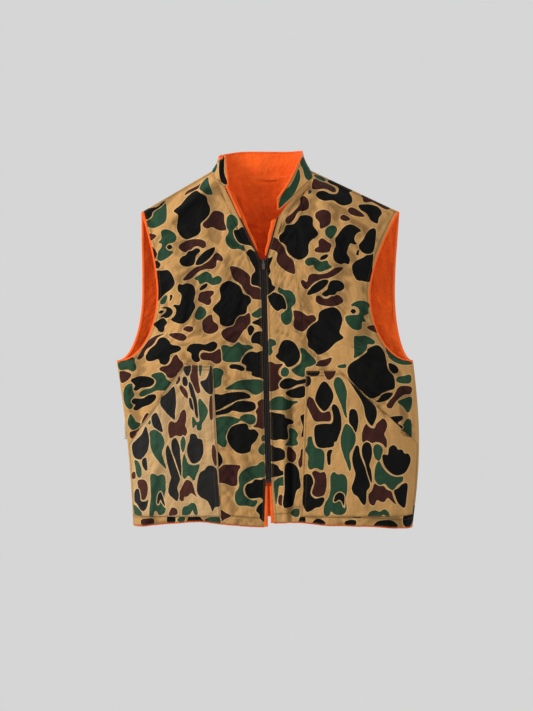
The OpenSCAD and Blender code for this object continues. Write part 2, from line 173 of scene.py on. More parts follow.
CHEST_PRINT = {
    "black": [
        [(-17.8, -8.6), (-16.4, -7.4), (-15.2, -5.8), (-13.6, -4.7), (-12.6, -5.3), (-11.4, -6),
         (-11.2, -7), (-10.7, -8.2), (-10.9, -9.4), (-11.9, -10.6), (-12.5, -11.2), (-12.5, -12.6),
         (-13.4, -13.5), (-15.2, -14.1), (-16.4, -13.4), (-17.1, -12), (-17, -10.6), (-16.9, -9.4)],
        [(-16.6, -18), (-16, -17.3), (-15.4, -17.1), (-14.9, -16.4), (-14, -16.2), (-13.3, -15.8),
         (-12.5, -16.2), (-12.8, -16.7), (-13.4, -17.3), (-13.5, -18.2), (-13.9, -19), (-15.2, -19.3),
         (-16.3, -18.9)],
        [(-13.5, -18.8), (-12.9, -17.6), (-11.6, -16.4), (-9.9, -15.6), (-9.8, -16.2), (-10.6, -17.6),
         (-12, -18.8), (-13.1, -19.1)],
        [(-6.2, -12.4), (-5.4, -12.3), (-4.6, -11.8), (-3.4, -12.6), (-2.6, -13.8), (-2, -15.4),
         (-2.4, -15.9), (-3, -15.4), (-4, -15.2), (-5.2, -14.8), (-6, -13.6)],
        [(-21.6, -20.2), (-19.8, -19.9), (-18.8, -19.9), (-18, -20.8), (-17.6, -21.8), (-17.5, -22.6),
         (-18.2, -23.6), (-19.4, -24.4), (-20.6, -25.6), (-21.2, -25.8), (-21.5, -23)],
        [(-18.5, -24.6), (-17.9, -24.7), (-18.1, -25.6), (-18.6, -25.8), (-18.4, -25.2)],
        [(-16.8, -22.6), (-16, -22.7), (-15.2, -22.4), (-14, -22.8), (-13.5, -23.8), (-13.6, -25),
         (-13.8, -25.9), (-13.5, -26.9), (-14, -28), (-14.8, -29.4), (-16, -30.2), (-17.4, -29.9),
         (-18.3, -29.3), (-17.6, -28.8), (-17.2, -28), (-17.3, -27.2), (-17.9, -26.8), (-17.4, -26.5),
         (-16.6, -26.6), (-16.3, -25.8), (-16.2, -24.6), (-16.9, -23.8)],
        [(-12.8, -23.7), (-12.2, -22.9), (-11.2, -22.5), (-11.3, -23.2), (-12.2, -23.8)],
        [(-8.9, -23.6), (-8.4, -22.6), (-7.2, -22), (-6, -22.4), (-4.9, -23.2), (-4.4, -24.4),
         (-3.2, -25), (-2.9, -26), (-3.6, -26.9), (-3.9, -28.2), (-5.2, -28.6), (-5.9, -29.4),
         (-6.4, -30.4), (-7.8, -30.7), (-8.8, -30.2), (-9, -28.9), (-10.2, -27.6), (-9.9, -26.8),
         (-8.9, -25.8), (-8.7, -24.8)],
    ],
    "brown": [
        [(-12.2, -11.3), (-11.2, -10.2), (-10.2, -8.8), (-9.2, -8.7), (-8.1, -9.3), (-8, -10.8),
         (-7.6, -12.3), (-9, -12.4), (-10.4, -11.8), (-11.4, -12.1)],
        [(-16.8, -15.6), (-16.2, -14.8), (-14.8, -14.2), (-12.8, -14.1), (-11.6, -14.6), (-11.5, -15.6),
         (-12.1, -15.9), (-12.9, -15.5), (-13.8, -15.6), (-14.6, -16.3), (-15.8, -16.5)],
        [(-9.6, -16.7), (-8.6, -17.2), (-8.2, -18), (-8.6, -18.4), (-9.4, -18.1), (-9.5, -19.2),
         (-10.2, -19.8), (-11.6, -19.9), (-13, -20.4), (-14.4, -21.6), (-16, -21.9), (-14.8, -20.4),
         (-13.4, -19.4), (-12.2, -19), (-10.8, -18.2)],
        [(-15.9, -31.2), (-15, -30.6), (-14, -30.8), (-13.9, -31.4), (-14.6, -31.8)],
        [(-18.6, -32.3), (-17.6, -31.9), (-16, -32), (-15.1, -32.7), (-15.6, -33.4), (-16.8, -33.3)],
        [(-12.7, -24.3), (-11.2, -23.9), (-10, -24), (-10, -24.6), (-10.6, -25.1), (-10.4, -26),
         (-11, -26.7), (-12, -26.3), (-13, -25.8), (-12.9, -25)],
        [(-12.2, -30.6), (-12, -29.4), (-10.4, -28.4), (-10.1, -29.6), (-9.2, -30.4), (-9.2, -31.4),
         (-10.4, -32.1), (-11.8, -31.8)],
        [(-6.9, -19.3), (-5.6, -19.4), (-4.2, -20.1), (-3.1, -21.2), (-3, -22.8), (-1.8, -23.2),
         (-.5, -23.4), (-.5, -25.4), (-2.4, -25.5), (-3.4, -24.8), (-4.2, -23.9), (-5, -22.6),
         (-6.2, -21.8), (-6.7, -20.6)],
    ],
    "green": [
        [(-7.5, -10), (-6.6, -9.4), (-5.6, -10.2), (-5.4, -11.4), (-6, -12), (-6.2, -13.2), (-5.4, -14.6),
         (-4.3, -15.3), (-4.2, -16.4), (-5.2, -16), (-6.6, -16), (-7.6, -15), (-7.8, -13.8),
         (-7.2, -12.8), (-7.6, -11.6)],
        [(-13.8, -21.6), (-12.6, -20.8), (-11.4, -20.3), (-10.4, -20.9), (-10.2, -21.5), (-9.2, -21.1),
         (-8.4, -21.7), (-8.9, -22.6), (-10.2, -22.9), (-11.4, -22.3), (-12.6, -22.7), (-13, -22)],
        [(-13.7, -28.7), (-13.2, -27.4), (-12.6, -26.8), (-11.6, -27.4), (-11.4, -28.4), (-12.2, -29.3),
         (-13.2, -29.4)],
    ],
}

RIGHT_FRONT_PRINT = {
    "black": [
        [(-24.2, -9), (-23.8, -8), (-22.4, -7.6), (-21.2, -7.4), (-20.2, -6.6), (-19.2, -6),
         (-20.4, -7.4), (-21.9, -8.4), (-22.2, -9.4), (-23.2, -9.9)],
        [(-19.1, -15.5), (-18.5, -15), (-17.9, -15.5), (-18.5, -16)],
        [(-22.3, -15.2), (-21.6, -15.6), (-21, -16.7), (-21.4, -17.6), (-21.9, -17.8)],
        [(-21.8, -18.3), (-21, -18), (-20.3, -18.7), (-20.6, -19.4), (-21.4, -19.4)],
        [(-3.9, -16.8), (-3.2, -16), (-2.4, -16.4), (-1.4, -17), (-.4, -19), (-.4, -23.2), (-1.8, -23),
         (-2.9, -22.6), (-2.8, -21), (-2.3, -20.4), (-2.2, -19.8), (-3, -18.4), (-3.4, -17.4)],
        [(-20.4, -27.2), (-19.4, -26.8), (-18.2, -27.2), (-17.8, -28), (-18.4, -28.8), (-19.6, -29.2),
         (-20.4, -28.8), (-19.4, -28), (-19.2, -27.3)],
        [(-20.8, -28), (-20.2, -27.5), (-19.6, -27.7), (-20.2, -28.2)],
        [(-21.8, -30.2), (-21, -29.6), (-19.8, -29), (-18.9, -29.9), (-19.4, -30.6), (-19.6, -31.7),
         (-20.6, -31.6), (-21, -31)],
        [(-2.8, -30), (-1.6, -29.3), (-.6, -29), (-.4, -31.6), (-1.4, -30.6)],
        [(-3.6, -31), (-3, -30.4), (-2.3, -31), (-2.5, -31.8), (-3.1, -32.5), (-3.5, -31.9)],
        [(-2.9, -32.8), (-2.2, -31.8), (-1, -31.6), (-.2, -32.4), (-.2, -34.8), (-1.6, -34),
         (-2.8, -33.8)],
        [(-15.2, -35.2), (-14.4, -34.1), (-13, -33.9), (-11.6, -34.1), (-10.2, -33.5), (-9.3, -34),
         (-9.6, -35), (-10.6, -35.5), (-12.2, -35.2), (-12.8, -36), (-12.6, -37.2), (-13.4, -37.5),
         (-14.2, -36.8), (-14.3, -35.8)],
        [(-23.2, -36.4), (-22.8, -35.6), (-22.4, -35), (-21.2, -34), (-20.6, -33), (-19.6, -32.7),
         (-18.6, -33.3), (-18, -34.1), (-16.6, -34.4), (-16.1, -35), (-17, -35.6), (-18.2, -36),
         (-18.4, -37.2), (-19.2, -38), (-20.2, -37.7), (-20.6, -36.9), (-21.8, -37.3), (-22.8, -37.2)],
        [(-26.1, -41), (-25.2, -40.4), (-23.9, -40.1), (-22.2, -40.3), (-21.3, -40.9), (-21.5, -41.7),
         (-22.4, -42.2), (-23.9, -42.4), (-24.9, -43), (-25.6, -42.7), (-25.2, -42)],
        [(-26, -45), (-25.4, -44.4), (-23.8, -44.4), (-22.4, -43.7), (-21.1, -43.6), (-21, -44.4),
         (-22, -45.4), (-23.7, -46.1), (-25, -46.8), (-25.7, -46.4), (-25.1, -45.7), (-25.7, -45.5)],
        [(-7.1, -38.1), (-6.2, -37.8), (-4.8, -38.1), (-4.1, -38.7), (-4.6, -39.2), (-5.8, -38.8),
         (-6.8, -38.7)],
        [(-4.8, -37.5), (-4.2, -36.2), (-3, -35.4), (-1.9, -35.6), (-.9, -35.3), (-.2, -36), (-.2, -40.4),
         (-1.4, -40.4), (-2.4, -40.2), (-2.9, -39.8), (-2.8, -39.3), (-3.9, -39.1), (-3.9, -38.2)],
        [(-10, -43.7), (-8.5, -43.6), (-7, -43.2), (-4.7, -43.1), (-3.3, -43.6), (-3.1, -44.3),
         (-5.1, -44.6), (-7.2, -45.5), (-9.9, -46.7)],
        [(-9.9, -47), (-8.2, -46.4), (-6.8, -45.7), (-5.6, -44.9), (-4, -44.8), (-2.4, -45.1),
         (-2, -46.1), (-2.8, -46.8), (-4.7, -47), (-6.4, -46.7), (-7.4, -47.2), (-9, -47.5),
         (-9.9, -47.5)],
        [(-7.5, -51.4), (-6.8, -49.9), (-5.5, -49.2), (-4, -49.1), (-3.5, -49.6), (-3.3, -50.2),
         (-2.3, -50.2), (-1.5, -51), (-1.7, -51.8), (-2.1, -52.5), (-2.8, -53.2), (-3.1, -54.4),
         (-4.3, -54.8), (-5.6, -54.6), (-6.8, -53.5), (-7.4, -52.3)],
        [(-9.6, -54.4), (-8.7, -55), (-8.3, -56.1), (-8.6, -56.9), (-9.6, -57.7)],
        [(-4.1, -61.5), (-3.7, -60.6), (-2.7, -60.3), (-2.2, -59.7), (-1.1, -59.8), (-.2, -59.7),
         (-.2, -63.8), (-1.1, -63.2), (-2, -63.3), (-3.2, -63.3), (-3.9, -62.5)],
        [(-2, -65.6), (-1.3, -64.4), (-.2, -64.1), (-.2, -67.7), (-1.2, -67.2), (-1.4, -66.3)],
        [(-15.1, -67.6), (-14.6, -66.6), (-13, -66.4), (-12.4, -67), (-12, -68), (-15, -68)],
        [(-18.8, -66.8), (-17.4, -66.6), (-17.4, -68), (-18.8, -68)],
    ],
    "brown": [
        [(-22.8, -12.7), (-21.6, -12.9), (-21.1, -13.3), (-22.2, -14.1), (-22.6, -13.8)],
        [(-15.8, -5.4), (-15.2, -4.4), (-13.4, -3.6), (-12.3, -2.8), (-13, -4.2), (-14.8, -5)],
        [(-8.5, -31.6), (-7.4, -30.9), (-6.2, -30.4), (-5.5, -28.9), (-4.2, -28.6), (-3.3, -28.1),
         (-3, -29.2), (-3.2, -30.4), (-4.4, -31.6), (-5.2, -32.8), (-6, -33.8), (-7.4, -33.5),
         (-8.4, -32.6)],
        [(-12.6, -36.2), (-12, -35.6), (-10.6, -35.7), (-9.6, -35.3), (-8.9, -34.9), (-8.4, -35.8),
         (-8.6, -37.4), (-9.6, -37.8), (-10.6, -37.2), (-12.2, -37)],
        [(-24.9, -36.8), (-24.2, -35.4), (-22.8, -33.4), (-21.2, -32.4), (-19.2, -32), (-20.8, -32.8),
         (-21.8, -34.2), (-23.2, -35.2), (-23.6, -36.4), (-24.4, -37)],
        [(-17, -36), (-16.5, -36.9), (-15.8, -37.6), (-15.8, -39.1), (-16.7, -39.3), (-17.1, -40),
         (-17.9, -40.5), (-18.8, -40.3), (-19.2, -39.6), (-20.4, -38.9), (-19.9, -38.3), (-18.6, -38),
         (-18, -37.1), (-17.7, -36.4)],
        [(-28.4, -39.2), (-27, -39.3), (-25.9, -39.8), (-26.3, -40.6), (-27.2, -41.3), (-28.2, -41.4)],
        [(-22.8, -47.1), (-22.2, -47.6), (-22.8, -48.5), (-24.2, -50.2), (-25.2, -52), (-26.2, -52.1),
         (-26.4, -51), (-25.1, -50.5), (-24, -49.4), (-23.6, -48.3)],
        [(-1.7, -45), (-.3, -44.8), (-.3, -49.8), (-1.6, -49.9), (-2.8, -49.7), (-2, -49.2),
         (-1.8, -47.6), (-2.1, -46.8), (-1.6, -46)],
        [(-9.4, -58.2), (-8.2, -57), (-6.8, -56.9), (-4.9, -57.1), (-5.4, -58.2), (-5.5, -59.4),
         (-5.6, -60.8), (-6.6, -61), (-7.9, -60.5), (-9.4, -60.1)],
        [(-8.9, -65.4), (-7.9, -65.9), (-6.7, -66.6), (-7.8, -67.2), (-8.8, -67.6)],
        [(-23.8, -67.4), (-21.6, -67.2), (-21.5, -68.4), (-23.6, -68.6)],
    ],
    "green": [
        [(-23.4, -10.4), (-22.2, -9.6), (-21.8, -8.4), (-20.6, -7), (-19.6, -6.6), (-19.2, -8),
         (-19.2, -10.4), (-20.4, -11.3), (-21.8, -11.7), (-23, -11.3)],
        [(-20.2, -12.4), (-19, -12.1), (-17.6, -12.8), (-17.1, -13.8), (-17.6, -14.6), (-18.8, -15),
         (-19, -15.8), (-18.2, -16.3), (-17.6, -16.2), (-18.4, -17.2), (-20, -18.1), (-20.9, -17.8),
         (-20.8, -16.4), (-20.1, -15.4), (-20.1, -14.8), (-20.9, -14.6), (-20.1, -13.8)],
        [(-12.8, -4.4), (-12.4, -3), (-11.3, -1.8), (-11, -3), (-10.6, -4.4), (-10.2, -5.5),
         (-11.2, -5.6), (-12.2, -5)],
        [(-20.4, -26.3), (-20.2, -25.4), (-19.2, -24.6), (-18.9, -25.2), (-19.5, -26.3)],
        [(-2.9, -28.4), (-2.2, -27.8), (-.9, -27.1), (-.9, -28.9), (-2.2, -29)],
        [(-8.6, -34.4), (-7.6, -34.2), (-6.6, -34.5), (-5.4, -33.6), (-4.6, -34.1), (-3.2, -34.2),
         (-2.4, -34.8), (-3.4, -35.2), (-4.2, -35.9), (-4.5, -37.2), (-6.4, -37.5), (-8.2, -37.2),
         (-8.4, -35.8)],
        [(-26.1, -36.4), (-25.4, -36.8), (-25.2, -37.6), (-24.9, -38.6), (-25.5, -39.3), (-26.8, -38.9),
         (-28.4, -39), (-28.8, -37.6), (-27.9, -37), (-26.9, -36.7)],
        [(-26.4, -41.6), (-25.7, -41.7), (-25.7, -42.9), (-25.3, -43.8), (-25.9, -44.7), (-25.7, -45.6),
         (-25.9, -46.4), (-26.5, -46.5), (-27.4, -45.6), (-27.7, -43.8), (-27.3, -42.3)],
        [(-22, -40), (-21, -39.5), (-19.9, -39.4), (-19.2, -40), (-18.9, -40.7), (-18.1, -41.2),
         (-18.1, -41.9), (-19, -42.8), (-20.9, -42.9), (-22.4, -43.6), (-23.9, -44.1), (-24.4, -43.6),
         (-23.6, -42.8), (-21.6, -42.2), (-21, -41)],
        [(-26.2, -47.4), (-25.5, -48.2), (-25, -48.9), (-24, -49.2), (-24.8, -50.2), (-26, -50.5),
         (-26.8, -49.4), (-26.6, -48.2)],
        [(-10.2, -38.8), (-8.8, -38.7), (-8.1, -39.4), (-8.5, -40.4), (-8.6, -41.8), (-9.4, -42.3),
         (-10.2, -42.2)],
        [(-8, -42.6), (-6.8, -41.8), (-5.4, -41), (-2.8, -40.7), (-.8, -40.9), (-.3, -42.2), (-.7, -43),
         (-1.9, -43.7), (-2.9, -43.4), (-3.8, -42.8), (-6, -42.7)],
        [(-5, -47.8), (-3.8, -47.3), (-2.4, -47.5), (-2, -48.3), (-2.3, -49.1), (-3.2, -49.3),
         (-4.2, -48.8), (-4.9, -48.5)],
        [(-11.2, -48.9), (-9.7, -48.1), (-8, -47.7), (-6.1, -47.9), (-5, -48.5), (-5.6, -49.1),
         (-6.8, -49.8), (-7.4, -51.2), (-7.5, -52.6), (-7.8, -53.6), (-8.8, -53.3), (-10, -52.1),
         (-10.8, -50.6)],
        [(-1.6, -54.2), (-1.2, -53.3), (-.4, -52.8), (-.3, -55), (-1.2, -54.9)],
        [(-1, -51.6), (-.4, -51.2), (-.3, -52.4), (-.9, -52.4)],
        [(-1, -56.3), (-.3, -56.7), (-.3, -59.2), (-1.3, -59.4), (-2.6, -59.8), (-4, -60.6),
         (-4.4, -61.6), (-4, -62.8), (-2.8, -63.6), (-1.7, -63.7), (-2.3, -64.9), (-3.9, -64.7),
         (-5.4, -64.6), (-6, -63.5), (-5.9, -62.2), (-5.2, -61), (-5.3, -59.4), (-4.7, -58.2),
         (-3.2, -57.3), (-1.8, -57)],
        [(-11.8, -67.4), (-10.5, -66.8), (-8.9, -66.9), (-8.9, -68.2), (-11, -68.2)],
        [(-17, -67.4), (-16, -66.6), (-15.4, -67.2), (-16, -68)],
    ],
}

LEFT_FRONT_PRINT = {
    "black": [
        [(9.3, -5.7), (10, -5), (11, -5), (12.2, -5.5), (13.4, -5.3), (13.9, -4.2), (13.6, -3.6),
         (12.2, -3), (11.7, -2.4), (12.6, -2.2), (14.4, -3), (16.8, -4.2), (16, -4.7), (16.5, -5.8),
         (16.3, -7), (15, -7.7), (13.8, -7.5), (12.6, -6.8), (10.6, -6.8)],
        [(17.6, -7.4), (18.4, -7.1), (19.8, -7), (21.4, -7.4), (22.3, -8.6), (21.6, -9.8), (21.3, -10.9),
         (20, -10.3), (19.2, -9), (18, -8.3)],
        [(17.6, -15.2), (18.5, -14), (19, -13), (19.9, -12), (21, -12.2), (20.6, -16), (19.4, -16.8),
         (18.2, -16.4)],
        [(2.4, -41.7), (3.2, -40.7), (4.6, -40.5), (5.9, -40.9), (7.4, -40.6), (7.4, -41.4), (5.8, -41.8),
         (4.3, -42.5), (3, -42.5)],
        [(3.6, -43.2), (5.1, -42.5), (7.2, -42), (7.2, -44), (5.3, -44.3), (4.1, -43.9)],
        [(.4, -47.3), (1.8, -47.1), (3.4, -47.4), (3.6, -48), (5, -48.5), (5, -49.2), (4, -49.6),
         (4.1, -52), (2.6, -52.1), (1.6, -52.3), (.5, -51.6)],
        [(6.4, -47.8), (7.4, -47.3), (8.4, -47.9), (8.7, -49.2), (7.8, -49.9), (7.5, -51.4), (6.6, -51.6),
         (6.9, -49.7)],
        [(.5, -53.2), (1.7, -53.6), (2.8, -53.8), (3.5, -54.5), (3.2, -55.9), (.5, -56.2)],
        [(.5, -56.8), (2, -57), (2.6, -57.9), (3.3, -58.1), (3, -58.9), (1.3, -59.3), (.5, -59.3)],
        [(3.5, -57), (5.2, -56.8), (6.1, -57.9), (6.3, -59.4), (6.5, -61.1), (5.7, -61.9), (5.3, -63.6),
         (5, -64.8), (4, -65.2), (3.1, -64.6), (3.4, -61.5)],
        [(6.2, -67.2), (6.8, -66.3), (7.4, -67), (7.3, -68), (6.1, -68)],
        [(8.7, -67.8), (9.7, -67.1), (11, -67.6), (11, -68.2), (8.8, -68.2)],
        [(15, -67.6), (16.8, -67.4), (16.9, -68.4), (15, -68.4)],
        [(20.3, -68.6), (21.3, -67.7), (23.8, -67.6), (25, -69), (20.4, -69)],
        [(26.1, -67), (26.8, -66), (28.6, -65), (28.6, -67.8), (27.4, -69.3), (26.2, -68.6)],
        [(15.3, -39), (15.8, -37.8), (17.5, -36.7), (19, -35.6), (19.3, -34.9), (21, -34.2), (22, -34.6),
         (22.8, -36), (23.2, -38.7), (24.3, -40), (24.6, -41.6), (24.4, -42.6), (23, -43), (21.6, -43.8),
         (19.9, -44.4), (18.4, -43.4), (16.8, -41.8), (15.6, -40.4)],
        [(2.3, -34.9), (3, -33.5), (4, -33.2), (5.2, -33.7), (6, -34.8), (6.4, -36.2), (6, -37.4),
         (5, -38.2), (3.9, -38.4), (3.3, -37.6), (2.3, -37), (1.7, -36.3), (2.2, -35.7)],
        [(23.3, -37.7), (24.2, -37.8), (25.2, -38.5), (25.3, -39.4), (24.4, -39.7), (23.6, -39)],
        [(20, -45), (21.2, -44.6), (22.2, -43.5), (24.2, -43.3), (23.4, -44.5), (21.8, -45.1)],
        [(22.7, -48.3), (24, -47.8), (26.1, -47.8), (26.1, -48.5), (25, -49.1), (26.2, -49.8),
         (25.8, -50.4), (24.9, -50.1), (24, -49.1)],
        [(27.2, -58), (28.8, -57.9), (28.6, -60.3), (27.3, -60.5)],
        [(15.9, -27.8), (16.5, -27.3), (17.1, -27.8), (16.5, -28.3)],
        [(-.4, -17.8), (.5, -17.7), (1.2, -17.4), (1, -18.2), (.6, -19.3), (.8, -20.3), (.4, -21.1),
         (.9, -21.8), (1.1, -22.7), (1.7, -23.3), (1, -24.2), (-.3, -24.3)],
    ],
    "brown": [
        [(8.6, -4.4), (9, -2.6), (10.4, -2.5), (11.5, -3), (13.2, -3.9), (13.3, -4.8), (12.6, -5.1),
         (11.2, -4.6), (9.6, -4.7)],
        [(6.4, -6.2), (7.2, -5.9), (8, -6.8), (8, -8.2), (7.2, -8.7), (6, -8.9), (5.2, -10.4), (4, -11.3),
         (3.6, -10.3), (5, -9), (6, -7.9), (6.4, -7.2)],
        [(18.2, -5.1), (20, -5.3), (21.8, -6.4), (24, -7.4), (23.4, -8), (22.3, -7.6), (20.8, -6.7),
         (20.4, -6.5), (18.8, -6.6), (18.6, -5.8)],
        [(19.2, -30.8), (20, -30.4), (21, -30.5), (21.8, -31.6), (22.4, -32.2), (21, -31.8),
         (19.8, -31.3)],
        [(.3, -37.6), (1.8, -37.8), (3.2, -37.8), (2.4, -38.8), (2.3, -39.8), (3, -40.5), (2.4, -41.6),
         (2.2, -42.6), (.3, -42.7)],
        [(9.2, -38), (9.9, -37.2), (11.2, -36.9), (12.4, -36.5), (12.2, -37.4), (11.4, -38.2),
         (10, -38.3)],
        [(22.8, -45.7), (24.4, -43.8), (25.1, -42.5), (26.2, -42), (28, -42.3), (27.8, -43.6),
         (26.4, -43.8), (24.8, -45), (23.8, -46.3)],
        [(4, -53.6), (4.8, -53.8), (5.6, -54.8), (5.5, -56), (4.6, -56.6), (3.9, -55.6)],
        [(6.6, -53.8), (7.4, -54.9), (7.1, -56.2), (6.4, -57.6), (6, -56.4), (6.4, -55.2)],
        [(2.2, -63), (3, -62.6), (3, -64.6), (2.3, -64.4)],
        [(16.3, -66.2), (17, -65.4), (17.9, -65.8), (18, -67), (16.2, -66.9)],
    ],
    "green": [
        [(7.8, -5.2), (8.4, -4.6), (8.6, -5.2), (8, -5.6)],
        [(9, -1.4), (10.2, -1.4), (11.3, -2), (11.2, -2.8), (9.6, -2.3)],
        [(18.2, -18.6), (18.9, -17.5), (19.6, -17.3), (19.7, -18.4), (18.9, -18.9)],
        [(15.8, -26.8), (16.8, -26), (18, -25.7), (19.2, -25.9), (19.9, -26.5), (19.5, -27.4),
         (19.6, -28.2), (18.7, -28.6), (18.8, -29.3), (19.3, -29.8), (18.3, -29.8), (18.2, -31),
         (17.4, -31.4), (16.2, -31.1), (15.1, -29.9), (15, -28.8), (16.1, -28.5), (17.4, -28.4),
         (17.7, -27.6), (17, -26.9)],
        [(16.6, -32.7), (17.6, -32.5), (18.8, -32.4), (19.9, -32.8), (20.9, -33.6), (20.3, -34.1),
         (19.3, -34.1), (19.1, -35), (18.2, -35.9), (17, -36.6), (16.5, -36.8), (16.6, -35.6)],
        [(.8, -33), (1.7, -33.4), (1.8, -34.2), (1, -34.6), (1.2, -35.6), (.4, -36.2), (.3, -33.4)],
        [(6.4, -34.8), (7.2, -34.9), (8.1, -35.8), (9.2, -36.9), (9.4, -37.6), (8.6, -38.2), (7.4, -38.6),
         (7.2, -40.2), (5.8, -40), (4.7, -39), (5.4, -38.4), (6.4, -37.6), (6.6, -36.2)],
        [(2.7, -39.2), (3.3, -38.4), (4.1, -38.7), (4.3, -39.5), (3.8, -40.2), (2.9, -40.1)],
        [(13.2, -38.3), (14.2, -37.9), (15.1, -37.8), (15, -38.5), (14, -38.6)],
        [(22.9, -34.6), (24, -35), (25.2, -36.2), (26.6, -36.8), (27.6, -36.4), (28.2, -37.8),
         (26.4, -38), (24.8, -37.6), (23.6, -36.6)],
        [(25, -40.4), (26.4, -40.1), (27.8, -39.9), (27.7, -41.5), (25.2, -41.4)],
        [(25.1, -45.1), (26.4, -44.5), (28, -44.2), (28, -46), (27.2, -47.3), (26.4, -46.2)],
        [(24.6, -50.8), (25.6, -50.8), (26.2, -49.4), (27, -48.4), (27.8, -48.6), (28, -50.6),
         (27.8, -53), (26.9, -53.6), (26.1, -52.4), (25.2, -52.8), (24.6, -52)],
        [(.3, -45.4), (1.2, -44.3), (2.9, -43.9), (4.2, -44.7), (6.2, -44.9), (5, -45.6), (4.2, -46.5),
         (2, -46.6), (.4, -46.4)],
        [(4.3, -50.1), (5.4, -50.3), (6, -51.2), (5.7, -52), (6, -53), (5, -53.4), (3.4, -53.2),
         (4.2, -52.3)],
        [(1.4, -60.2), (2.4, -59.4), (3.3, -59.2), (3.3, -60.8), (2.4, -61), (2.2, -62.6), (1.8, -64.6),
         (1.5, -62)],
        [(4.6, -66.2), (5.2, -65.4), (6.2, -65.4), (6.1, -66.7), (5.2, -66.8)],
        [(27.4, -56.8), (28.8, -56.2), (28.8, -57.4), (27.5, -57.6)],
        [(27.2, -61.2), (28.6, -60.6), (28.5, -62.6), (27, -63.2)],
    ],
}

